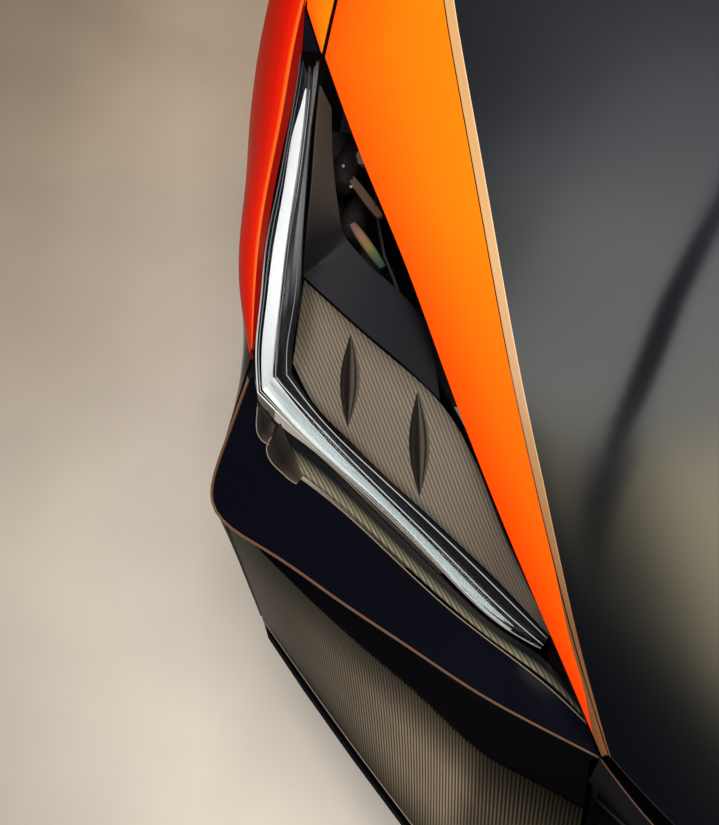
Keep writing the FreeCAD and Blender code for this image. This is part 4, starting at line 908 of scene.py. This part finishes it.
def cutArch(thing, side):
    # takes the wheel arch out of a panel
    count = wing["archSteps"]
    turns = np.linspace(0, 2 * math.pi, count, endpoint=False)
    back, up, radius = wing["arch"]
    points = [(out, back + radius * math.cos(turn), up + radius * math.sin(turn))
              for out in wing["archReach"] for turn in turns]
    faces = [tuple(range(count)), tuple(range(2 * count - 1, count - 1, -1))]
    faces += [(i, count + i, count + (i + 1) % count, (i + 1) % count) for i in range(count)]
    cutter = newObject("archCutter", bodyPoints(points, side), turnedFaces(faces) if side > 0 else faces)
    cut = thing.modifiers.new("arch", "BOOLEAN")
    cut.operation = "DIFFERENCE"
    cut.solver = "EXACT"
    cut.object = cutter
    applied(thing)
    bpy.data.objects.remove(cutter)
    thing.data.set_sharp_from_angle(angle=math.radians(wing["sharpFrom"]))


def makeWing(label, side):
    rows = []
    names = ("wingIn", "wingCrest", "wingSide", "wingHem")
    for inner, crest, flank, hem in lineGrid(names, side, wing["perSpan"]):
        strip = [inner + (crest - inner) * k / wing["stripSteps"] for k in range(wing["stripSteps"])]
        rows.append(strip + list(smoothLine([crest, flank, hem], wing["flankSteps"])))
    addPanel(label, "wing", np.array(rows), (1, 0, 0.4), wing["wall"], ("orangeWing", "orange_paint"),
             "wing", edge=0, arch=True)


wingTop = {
    "tip": (872, 694, 732),
    "perSpan": 24,
    "seamMeet": 4,  # the wing's inner edge has the corner of the top at its fifth point
    "start": 2,  # behind the tip
    "rows": 24,
    "crowding": 1.6,  # of the rows towards the tip
    "capRows": 10,
    "capShort": 4,
    "pieces": [  # name, inner gap, material and slot, node
        ("wingTop", 5, ("orangeBlade", "orange_paint"), "wing_top"),
        ("lampCap", 2.2, ("glossBlack", "gloss_black"), None),
    ],
    "inset": 0.6,
    "sunk": 0.3,
    "wall": 3,
    "steps": 6,
}


def makeWingTop(label, side):
    # the orange corner between lid and seam, and the black cap that closes it off from the lamp
    lidEdge = bodyLine("brow", side, wingTop["perSpan"], blade["corner"])[::-1]
    seam = bodyLine("wingIn", side, wingTop["perSpan"])
    tip = bodyPoints([wingTop["tip"]], side)[0]
    meet = seam[wingTop["perSpan"] * wingTop["seamMeet"]]

    def diagonal(back):
        return tip + (meet - tip) * (back - tip[1]) / (meet[1] - tip[1])

    def onSeam(back):
        return pointAt(seam, seam[:, 1], back)

    first = tip[1] + wingTop["start"] * mm
    shares = np.linspace(0, 1, wingTop["rows"]) ** wingTop["crowding"]
    tops = [(pointAt(lidEdge, lidEdge[:, 1], back), diagonal(back) if back < meet[1] else onSeam(back))
            for back in first + (lidEdge[-1][1] - first) * shares]
    caps = [(diagonal(back), onSeam(back))
            for back in np.linspace(first, meet[1] - wingTop["capShort"] * mm, wingTop["capRows"])]
    for (name, gap, looks, node), rows in zip(wingTop["pieces"], (tops, caps)):
        inner, outer = insetGrid(np.array(rows), gap, wingTop["inset"]).transpose(1, 0, 2)
        grid = ruledGrid(inner, outer, wingTop["steps"]) - (0, 0, wingTop["sunk"] * mm)
        addPanel(label, name, grid, (0, 0, 1), wingTop["wall"], looks, node, edge=0.5)


bumper = {
    "wall": 3,
    "gap": 0.6,
    "perSpan": 6,
    "flatSteps": 4,  # of the side panels and the bar
    "sideRows": [  # upper, middle and foot lines, from the lip round to the arch
        [(900, 291, 480), (906, 250, 428), (894, 275, 308), (874, 302, 119)],
        [(904, 428, 484), (911, 402, 414), (914, 410, 290), (900, 420, 119)],
        [(955, 590, 470), (954, 580, 404), (948, 588, 280), (934, 600, 125)],
        [(972, 690, 446), (972, 680, 384), (966, 690, 260), (950, 700, 131)],
    ],
    "sideRoundings": (25, 18, 60),
    "panels": [  # name and node, lines, rounding, face, insets, material and slot, ribs
        ("corner", "bumper_corner", ("cornerTop", "lip"), (), (0.5, -0.7, 1), (0.6, 0.6, 2.4),
         ("glossBlack", "gloss_black"), None),
        ("undercut", "bumper_undercut", ("underLip", "recess", "chinTop"), (20,), (0.5, -1, 0), (5, 0.6, 6),
         ("undercutBlack", "black_trim"), None),
        ("chin", "carbon_chin", ("chinTop", "chinLow"), (), (0.5, -1, 0), (2.4, 2.4, 6),
         ("twillChin", "carbon_twill"), (1, -3)),
    ],
    "lipBead": (2.0, 1.1),  # radius at the lamp's side and at the nose
    "chinBead": 1.0,
    "chinBeadUp": 0.05,  # share of a row above the foot
    "thinBead": 0.7,
    "cornerBeadFrom": 4,
    "barRounding": 14,
    "barInsets": (6, 0, 2, 2),
}


def makeBumperSide(label, side):
    lines = [bodyLines["wingHem"][:4]] + list(zip(*bumper["sideRows"]))
    grid = np.stack([smoothLine(bodyPoints(line, side), bumper["perSpan"]) for line in lines], 1)
    grid = roundedGrid(grid, bumper["sideRoundings"], bumper["flatSteps"])
    grid = insetGrid(grid, bumper["gap"], bumper["gap"], bumper["wall"])
    addPanel(label, "bumperSide", grid, (1, -0.3, 0), bumper["wall"], ("glossBlack", "gloss_black"),
             "bumper_side", edge=0, arch=True)


def makeBumper(label, side):
    grids = {}
    for name, node, lines, rounding, face, insets, looks, ribs in bumper["panels"]:
        grid = insetGrid(roundedGrid(lineGrid(lines, side, bumper["perSpan"]), rounding, 6), *insets)
        addPanel(label, name, grid, face, bumper["wall"], looks, node, ribs=ribs)
        grids[name] = grid
    corner, chin = grids["corner"], grids["chin"]
    foot = chin[:, -1] + (chin[:, -2] - chin[:, -1]) * bumper["chinBeadUp"]
    lipRadius = np.linspace(*bumper["lipBead"], len(corner))
    addBead("lipLine_" + label, corner[:, -1], lipRadius, "bronzeLine", "gloss_black")
    # the chin line and the corner line are painted highlights along those edges
    addBead("chinLine_" + label, foot, bumper["chinBead"], "tanLine", "gloss_black")
    addBead("cornerLine_" + label, corner[bumper["cornerBeadFrom"]:, 0], bumper["thinBead"], "tanLine",
            "gloss_black")


def makeNoseBar():
    lines = []
    for name in ("barTop", "barMiddle", "barLow"):
        half = bodyLines[name]
        full = half + [(-out, back, up) for out, back, up in reversed(half[:-1])]
        lines.append(smoothLine(bodyPoints(full, -1), bumper["perSpan"]))
    grid = roundedGrid(np.stack(lines, 1), (bumper["barRounding"],), bumper["flatSteps"])
    grid = insetGrid(grid, *bumper["barInsets"])
    dress(panelObject("noseBar", grid, (0, -1, 0), bumper["wall"]), "barBlack", "gloss_black", "nose_bar")
    addBead("noseLine", grid[:, 0], bumper["thinBead"], "bronzeLine", "gloss_black")


# Lamp
lamp = {
    "face": (0.3, -0.4, 1),
    "perSpan": 8,
    "corner": 7,  # the station where the lamp turns
    "rimGap": 3,
    "tipGap": 4,
    "lensWall": 2.5,
    "lensCrown": 0.6,
    "lensLap": 2,  # past the guide's inner edge
    "guideTop": 4.0,
    "guideDeep": 3.0,
    "guideEnds": (0.9, 7.0, 11.15),  # where the strip starts, turns and ends, in spans from the tip
    "guideEdges": (-2.5, -4.0, -3.0, -4.0),  # past the guide lines, top and low, outer and inner
    "guideSteps": 8,
    "taper": (10, 0.6, 0.2),  # rows, power and first width of the point that the strip starts with
    "prismPitch": 2.1,
    "prism": (0.8, 1.0, 0.6),  # share of the strip's width, then width and height
    "prismLean": 0.9,  # along the strip for one across it
    "prismMiddle": 0.6,  # share of the way in
    "prismEnds": (4, 8, 4),  # free length at both ends, and prisms left out
    "prismUp": 0.1,
    "prismGauge": 20,  # rows past the turn, where the strip's width is taken
    "rounding": 0.5,
    "guideRounding": (1.0, 3),  # mm and segments
    "bezelWall": 2.5,
    "bezelStep": 1,
    "seat": 0.3,
    "lines": [  # name, column, share to the next column, depth, radius, material
        ("outerEdge", 0, 0.03, 0.2, 0.9, "coverEdge"),
        ("outerStep", 0, 0.5, 0.0, 0.45, "innerEdge"),
        ("innerEdge", 2, 0.04, 0.0, 0.5, "innerEdge"),
        ("bezelLine", 2, 0.72, -0.2, 0.6, "innerEdge"),
    ],
    "screw": (5.6, 2, 0.45, -1.0),  # spans from the tip, column, share to the next, depth
    "screwSize": (0, 5, 2),
}


def makeLamp(label, side):
    lines = lineGrid(("lampRim", "guideOut", "guideIn", "bezelIn"), side, lamp["perSpan"], lamp["corner"])
    grid = insetGrid(lines, lamp["rimGap"], 0, lamp["tipGap"])
    face = (lamp["face"][0] * side, *lamp["face"][1:])
    normals = gridNormals(grid, face)

    def sunk(column, depth, toward=0.0):
        # one of the lamp's lines, sunk and moved inwards by mm
        beside = min(column + 1, 3)
        step = unit(grid[:, beside] - grid[:, beside - 1])
        return grid[:, column] - normals[:, column] * depth * mm + step * toward * mm

    def layer(*spots):
        return np.stack([sunk(*spot) for spot in spots], 1)

    def between(column, share, depth):
        return (grid[:, column] * (1 - share) + grid[:, column + 1] * share
                - normals[:, column] * depth * mm)

    wall, crown, lap = lamp["lensWall"], lamp["lensCrown"], lamp["lensLap"]
    outer = layer((0, 0), (1, -crown), (2, -crown), (2, 0, lap))
    inner = layer((0, wall), (1, wall), (2, wall), (2, wall, lap))
    cover = layerObject("lampCover_" + label, outer, inner, face, lamp["rounding"])
    dress(cover, "clearCover", "clear_cover", "lamp_lens_" + label)

    # the light guide in two lengths, either side of the turn; its first end runs out to a point
    first, turn, last = (round(place * lamp["perSpan"]) for place in lamp["guideEnds"])
    foot = lamp["guideTop"] + lamp["guideDeep"]
    edges = lamp["guideEdges"]
    top = layer((1, lamp["guideTop"], edges[0]), (2, lamp["guideTop"], edges[1]))
    low = layer((1, foot, edges[2]), (2, foot, edges[3]))
    count, power, least = lamp["taper"]
    widths = (np.arange(count)[:, None] / count) ** power * (1 - least) + least
    point = slice(first, first + count)
    for strip in (top, low):
        strip[point, 0] = strip[point, 1] + (strip[point, 0] - strip[point, 1]) * widths
    guides = []
    for name, part, material in (("guideUpper_", slice(first, turn + 1), "lightGuideUpper"),
                                 ("guideLower_", slice(turn, last + 1), "lightGuide")):
        upper, lower = (ruledGrid(strip[part, 0], strip[part, 1], lamp["guideSteps"]) for strip in (top, low))
        guide = layerObject(name + label, upper, lower, face, *lamp["guideRounding"])
        guides.append(dress(guide, material, "white_guide"))

    inward = lamp["prismMiddle"]
    middle = top[turn:last, 0] * (1 - inward) + top[turn:last, 1] * inward
    places = np.concatenate([[0], np.linalg.norm(np.diff(middle, axis=0), axis=1).cumsum()])
    start, end, fewer = lamp["prismEnds"]
    count = int(places[-1] / (lamp["prismPitch"] * mm)) - fewer
    spots = []
    for place in np.linspace(start * mm, places[-1] - end * mm, count):
        index = turn + int(np.interp(place, places, np.arange(len(middle))))
        across = unit(grid[index, 2] - grid[index, 1])
        along = unit(grid[index + 1, 1] - grid[index, 1])
        up = normals[index, 1]
        spots.append((pointAt(middle, places, place) + up * lamp["prismUp"] * mm,
                      across - along * lamp["prismLean"], up))
    share, *size = lamp["prism"]
    gauge = grid[turn + lamp["prismGauge"]]
    long = np.linalg.norm(gauge[2] - gauge[1]) / mm * share
    repeated("prisms_" + label, "bar", spots, (long, *size), "prismGlass", "white_guide")

    wall, step, rim = lamp["bezelWall"], lamp["bezelStep"], lamp["lensWall"] + 2 * lamp["seat"]
    high = foot + lamp["seat"]
    deep = high + wall
    outer = layer((0, rim, wall), (0, high, wall), (1, high), (2, high, step), (3, 0))
    inner = layer((0, rim), (0, deep), (1, deep), (2, deep, step), (3, wall))
    bezel = layerObject("bezel_" + label, outer, inner, face, lamp["rounding"])
    dress(bezel, "bezelBlack", "gloss_black", "lamp_bezel_" + label)
    # these lines carry painted highlights of the lens and bezel edges
    for name, column, share, depth, radius, material in lamp["lines"]:
        addBead(name + "_" + label, between(column, share, depth), radius, material, "clear_cover")
    spans, column, share, depth = lamp["screw"]
    index = round(spans * lamp["perSpan"])
    spot = (between(column, share, depth)[index], (1, 0, 0), normals[index, column])
    repeated("bezelScrew_" + label, "bolt", [spot], lamp["screwSize"], "steel", "steel_fittings")
    return guides[0]


plate = {
    "perSpan": 6,
    "steps": 8,
    "wall": 2.5,
    "insets": (1, 2.4, 2, 2),
    "ribs": (1, -4),
    "finEnds": [((1.97, 0.1), (1.5, 0.9)), ((3.94, 0.1), (3.53, 0.9))],  # station and share of the height
    "finRise": 7,
    "finWide": 24,
    "finSteps": 16,
    "finRoot": 2,
    "finTip": 0.05,  # share of the full width at both ends
    "finProfile": [(-1, 0), (-0.6, 0.25), (-0.15, 1), (0.05, 0.95), (0.25, 0.2), (0.7, 0.1), (0.85, 0.3),
                   (1, 0)],  # place across and rise
    "finRounding": 0.3,
}
sill = {"perSpan": 6, "steps": 8, "hollow": 4, "insets": (1.5, 1, 1, 1), "wall": 2.5, "ribs": (1, -2)}
shroud = {"perSpan": 6, "steps": 6, "corner": 4, "inset": 1, "wall": 3}


def makeFin(name, low, high, along):
    # a slim leaf with a sharp ridge and a hollow beside it
    proud = unit(np.cross(along, high - low))
    proud = -proud if proud[2] < 0 else proud
    half = unit(np.cross(proud, high - low)) * plate["finWide"] / 2 * mm
    # columns run towards +X on both sides of the car, so that the dark flank, painted shade, faces the same
    # way
    half = -half if half[0] < 0 else half
    rows, base = [], []
    for share in np.linspace(0, 1, plate["finSteps"] + 1):
        swell = plate["finTip"] + math.sin(math.pi * share)
        across = [(low + (high - low) * share + half * swell * at, rise) for at, rise in plate["finProfile"]]
        rows.append([spot + proud * plate["finRise"] * mm * swell * rise for spot, rise in across])
        base.append([spot - proud * plate["finRoot"] * mm for spot, rise in across])
    return layerObject(name, np.array(rows), np.array(base), proud, plate["finRounding"])


def makePlate(label, side):
    perSpan = plate["perSpan"]
    grid = insetGrid(lineGrid(("plateLow", "plateHigh"), side, perSpan), *plate["insets"])
    addPanel(label, "lampPlate", ruledGrid(grid[:, 0], grid[:, 1], plate["steps"]), lamp["face"],
             plate["wall"], ("twillPlate", "carbon_twill"), "lamp_plate", ribs=plate["ribs"])
    for index, ends in enumerate(plate["finEnds"]):
        rows = [grid[round(station * perSpan)] for station, share in ends]
        low, high = (row[0] + (row[1] - row[0]) * share for row, (station, share) in zip(rows, ends))
        root = round(ends[0][0] * perSpan)
        fin = makeFin("fin_%d_%s" % (index, label), low, high, grid[root + perSpan, 0] - grid[root, 0])
        dress(fin, "finTwill", "carbon_twill")


def makeSill(label, side):
    lines = lineGrid(("sillHigh", "sillLow"), side, sill["perSpan"])
    grid = insetGrid(ruledGrid(lines[:, 0], lines[:, 1], sill["steps"], -sill["hollow"]), *sill["insets"])
    addPanel(label, "lampSill", grid, (0.4, -0.7, 1), sill["wall"], ("twillSill", "carbon_twill"),
             "lamp_sill", ribs=sill["ribs"])


def makeShroud(label, side):
    lines = lineGrid(("shroudLow", "shroudHigh"), side, shroud["perSpan"], shroud["corner"])
    grid = insetGrid(ruledGrid(lines[:, 0], lines[:, 1], shroud["steps"]), shroud["inset"])
    addPanel(label, "shroud", grid, lamp["face"], shroud["wall"], ("shroudGrey", "satin_grey"), "lamp_shroud")


tabs = {  # for each tab its outline, and the two ends of its straight side
    "outlines": {
        "loop": ([(840, 290, 515), (844, 282, 505), (841, 275, 500), (831, 266, 495), (820, 259, 493),
                  (811, 253, 492), (802, 249, 492)], [(832, 300, 530), (797, 256, 499)]),
        "smoky": ([(862, 317, 531), (861, 306, 520), (858, 296, 512), (850, 288, 508), (841, 284, 508)],
                  [(848, 312, 532), (838, 298, 524)]),
    },
    "perSpan": 4,
    "steps": 5,
    "rise": 1.6,  # and wall
    "edge": 0.5,
    "bead": 0.7,
}


def makeTabs(label, side):
    # clear lugs of the lamp, which lie on the corner panel
    for name, (outline, chord) in tabs["outlines"].items():
        edge = smoothLine(bodyPoints(outline, side), tabs["perSpan"])
        straight = np.linspace(*bodyPoints(chord, side), len(edge))
        rows = ruledGrid(straight, edge, tabs["steps"]) + np.array([0, -1, 1]) * tabs["rise"] * mm
        addPanel(label, name + "Tab", rows, (0.3, -0.67, 0.67), tabs["rise"],
                 ("smokyClear", "clear_cover"), edge=tabs["edge"])
        # a painted highlight along the tab's curved edge
        addBead(name + "Edge_" + label, rows[:, -1], tabs["bead"], "tanLine", "clear_cover")


pocket = {
    "pieces": [  # on the edge of the lamp housing: name, ends of a middle line, width, depth, material
        ("block", [(812, 604, 662), (786, 596, 672)], 20, 10, "bracketTan"),
        ("strut", [(813, 572, 662), (764, 516, 657)], 10, 6, "bracketBrown"),
        ("bar", [(794, 502, 654), (748, 450, 645)], 12, 5, "reflectorBar"),
    ],
    "up": (0.0, -0.35, 0.94),
    "taper": 0.35,
    "rows": 9,
    "columns": (-1, -0.4, 0.4, 1),
    "edge": 0.9,
    "screws": [(804, 545, 668), (820, 577, 668)],
    "screwUp": (0, -0.5, 0.86),
    "screwSize": (0, 4, 4),
}


def makePocket(label, side):
    for name, ends, wide, deep, material in pocket["pieces"]:
        first, last = bodyPoints(ends, side)
        across = unit(np.cross(last - first, pocket["up"])) * wide / 2 * mm
        rows = []
        for share in np.linspace(0, 1, pocket["rows"]):
            narrow = 1 - pocket["taper"] * abs(2 * share - 1) ** 3
            rows.append([first + (last - first) * share + across * narrow * at for at in pocket["columns"]])
        addPanel(label, name, np.array(rows), pocket["up"], deep, (material, "lamp_metal"),
                 edge=pocket["edge"])
    spots = [(spot, (1, 0, 0), pocket["screwUp"]) for spot in bodyPoints(pocket["screws"], side)]
    repeated("pocketScrews_" + label, "bolt", spots, pocket["screwSize"], "steel", "steel_fittings")


makeBonnet()
makeNoseBar()
for label, side in sides.items():
    for makePiece in (makeBlade, makeWing, makeWingTop, makeBumperSide, makeBumper):
        makePiece(label, side)
    makeLamp(label, side)
    for makePiece in (makePlate, makeSill, makeShroud, makeTabs, makePocket):
        makePiece(label, side)
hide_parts("light_guides")
print("panels made")


# Details of the structure
radiatorFins = {"pitch": 7.0, "wide": 1.2, "proud": 1.0, "edge": 12.0}


def makeRadiatorFins():
    low, high = (np.array(corner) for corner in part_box("radiator"))
    edge = radiatorFins["edge"] * mm
    count = int((high[0] - low[0] - 2 * edge) / (radiatorFins["pitch"] * mm))
    spots = [((x, face, (low[2] + high[2]) / 2), (0, 0, 1), (0, way, 0))
             for face, way in ((low[1], -1), (high[1], 1))
             for x in np.linspace(low[0] + edge, high[0] - edge, count)]
    size = ((high[2] - low[2] - 2 * edge) / mm, radiatorFins["wide"], 2 * radiatorFins["proud"])
    repeated("radiatorFins", "bar", spots, size, "coreMetal", "radiator_core")


makeRadiatorFins()

# What the solids show themselves: material to nodes
carried = {
    "mouldedBlack": ("lamp_housing_right", "lamp_housing_left", "luggage_tub", "arch_liner_right",
                     "arch_liner_left", "intake_grille", "bonnet_frame"),
    "castMetal": ("bulkhead", "crash_rails", "crash_beam", "splitter_stays", "upper_rails", "bar_stays",
                  "lamp_brackets"),
    "steel": ("hinge_arms", "hinge_brackets", "latch", "lid_striker"),
    "lampMetal": ("lamp_projectors",),
    "coreMetal": ("radiator",),
    "undercutBlack": ("splitter",),
    "rubber": ("lid_stops",),
}
for material, nodes in carried.items():
    for node in nodes:
        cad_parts[node].data.materials.clear()
        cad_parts[node].data.materials.append(materials[material])
print("carried nodes dressed")


# Stage
stage = {
    "size": 12,
    "paintedLightPool": (-0.7, -1.4),  # middle of the painted pool of light on the floor
    "floor": [(0.1, (0.66, 0.63, 0.585)), (0.3, (0.66, 0.61, 0.55)), (0.6, (0.46, 0.385, 0.305)),
              (1.0, (0.26, 0.195, 0.14))],  # share of the painted pool's reach and colour: pale in the middle and darker outwards, painted light
    "reach": 2.8,
    "aside": (-1.0, -0.3),  # direction in which the floor darkens away from the nose, as painted shade
    "asideReach": 2.0,
    "paintedFalloff": grey((0.62, 1.18), (0.68, 0.95), (0.75, 0.77), (0.85, 0.62)),  # share of the reach that way: lighter near the nose, painted light, and darker further away, painted shade
    "cloud": {"Scale": 2.2, "Detail": 7},
    "mottle": grey((0.3, 0.86), (0.7, 1.08)),
    "grain": ((0.5, 0.7), 0.006, 0.05),  # roughness, size and change of tone
    "specular": 0.2,
    "room": (1.0, 0.86, 0.7),
    "roomStrength": 0.36,
    "glossRoom": (0.02, 0.025, 0.04),
    "glossShare": 0.02,  # of the backdrop that gloss shows
    "backdrop": (0.66, 0.6, 0.53),
}
lights = [  # name, place, aim, width, depth, radiance, colour, shows in reflections
    ("warmBox", (0.28, -1.7, 3.0), (0.28, -1.7, 0), 1.55, 1.15, 5.0, (1, 0.88, 0.58), True),
    ("nearBox", (-0.28, -0.6, 3.0), (-0.28, -0.6, 0), 1.84, 1.0, 2.1, (0.98, 0.97, 0.93), True),
    ("middleBox", (-0.35, 0.22, 3.0), (-0.35, 0.22, 0), 1.9, 0.64, 1.3, (0.9, 0.94, 1), True),
    ("farBox", (-0.65, 0.95, 3.0), (-0.65, 0.95, 0), 2.5, 0.8, 0.3, (0.84, 0.9, 1), True),
    ("leftFill", (-3.0, -1.6, 3.0), (-1.0, -0.8, 0), 2.5, 2.5, 4.2, (1, 0.98, 0.97), False),
    ("frontFill", (0.8, -3.6, 2.8), (-0.5, -0.9, 0), 2.5, 2.5, 2.2, (1, 0.98, 0.97), False),
]


def makeFloor():
    size, ground = stage["size"], -mountUp * mm
    corners = [(-size, -size, ground), (size, -size, ground), (size, size, ground), (-size, size, ground)]
    floor = newObject("floor", corners, [(0, 1, 2, 3)])
    tree, shader = newMaterial("paleFloor")
    place = objectPlace(tree)
    reach = nodeIn(tree, "ShaderNodeVectorMath", {0: place, 1: (*stage["paintedLightPool"], ground)},
                   operation="DISTANCE")
    share = mathNode(tree, "DIVIDE", reach.outputs["Value"], stage["reach"])
    aside = nodeIn(tree, "ShaderNodeVectorMath", {0: place, 1: (*stage["aside"], 0)},
                   operation="DOT_PRODUCT")
    along = mathNode(tree, "DIVIDE", aside.outputs["Value"], stage["asideReach"])
    # a painted pool of light, darkened away from the nose by painted shade
    paintedFalloff = rampNode(tree, along, stage["paintedFalloff"])
    paintedLightPool = multiplied(tree, rampNode(tree, share, stage["floor"]), paintedFalloff)
    cloud = noiseNode(tree, Vector=place, **stage["cloud"])
    mottle = rampNode(tree, cloud, stage["mottle"])
    addGrain(tree, shader, multiplied(tree, paintedLightPool, mottle), *stage["grain"])
    feed(shader, {"Specular IOR Level": stage["specular"]})
    floor.data.materials.append(materials["paleFloor"])


def makeLights():
    for name, place, aim, wide, deep, radiance, colour, reflected in lights:
        data = bpy.data.lights.new(name, "AREA")
        data.shape = "RECTANGLE"
        data.size, data.size_y = wide, deep
        data.energy = radiance * math.pi * wide * deep
        data.color = colour
        light = linked(name, data)
        light.location = place
        light.rotation_euler = (Vector(aim) - Vector(place)).to_track_quat("-Z", "Y").to_euler()
        light.visible_glossy = reflected
        light.visible_camera = False


def makeRoom():
    # warm dim room light; the camera and clear plastic see a pale backdrop, gloss a little of it
    world = bpy.data.worlds.new("room")
    world.use_nodes = True
    tree = world.node_tree
    ray = nodeIn(tree, "ShaderNodeLightPath").outputs
    seen = mathNode(tree, "MAXIMUM", ray["Is Camera Ray"], ray["Is Transmission Ray"])
    gloss = mathNode(tree, "MULTIPLY", ray["Is Glossy Ray"], stage["glossShare"])
    warm = tuple(value * stage["roomStrength"] for value in stage["room"])
    dim = mixColour(tree, ray["Is Glossy Ray"], warm, stage["glossRoom"])
    colour = mixColour(tree, mathNode(tree, "MAXIMUM", seen, gloss), dim, stage["backdrop"])
    feed(tree.nodes["Background"], {0: colour, 1: 1.0})
    bpy.context.scene.world = world
    bpy.context.scene.view_settings.view_transform = "Standard"


makeFloor()
makeLights()
makeRoom()
print("stage set")
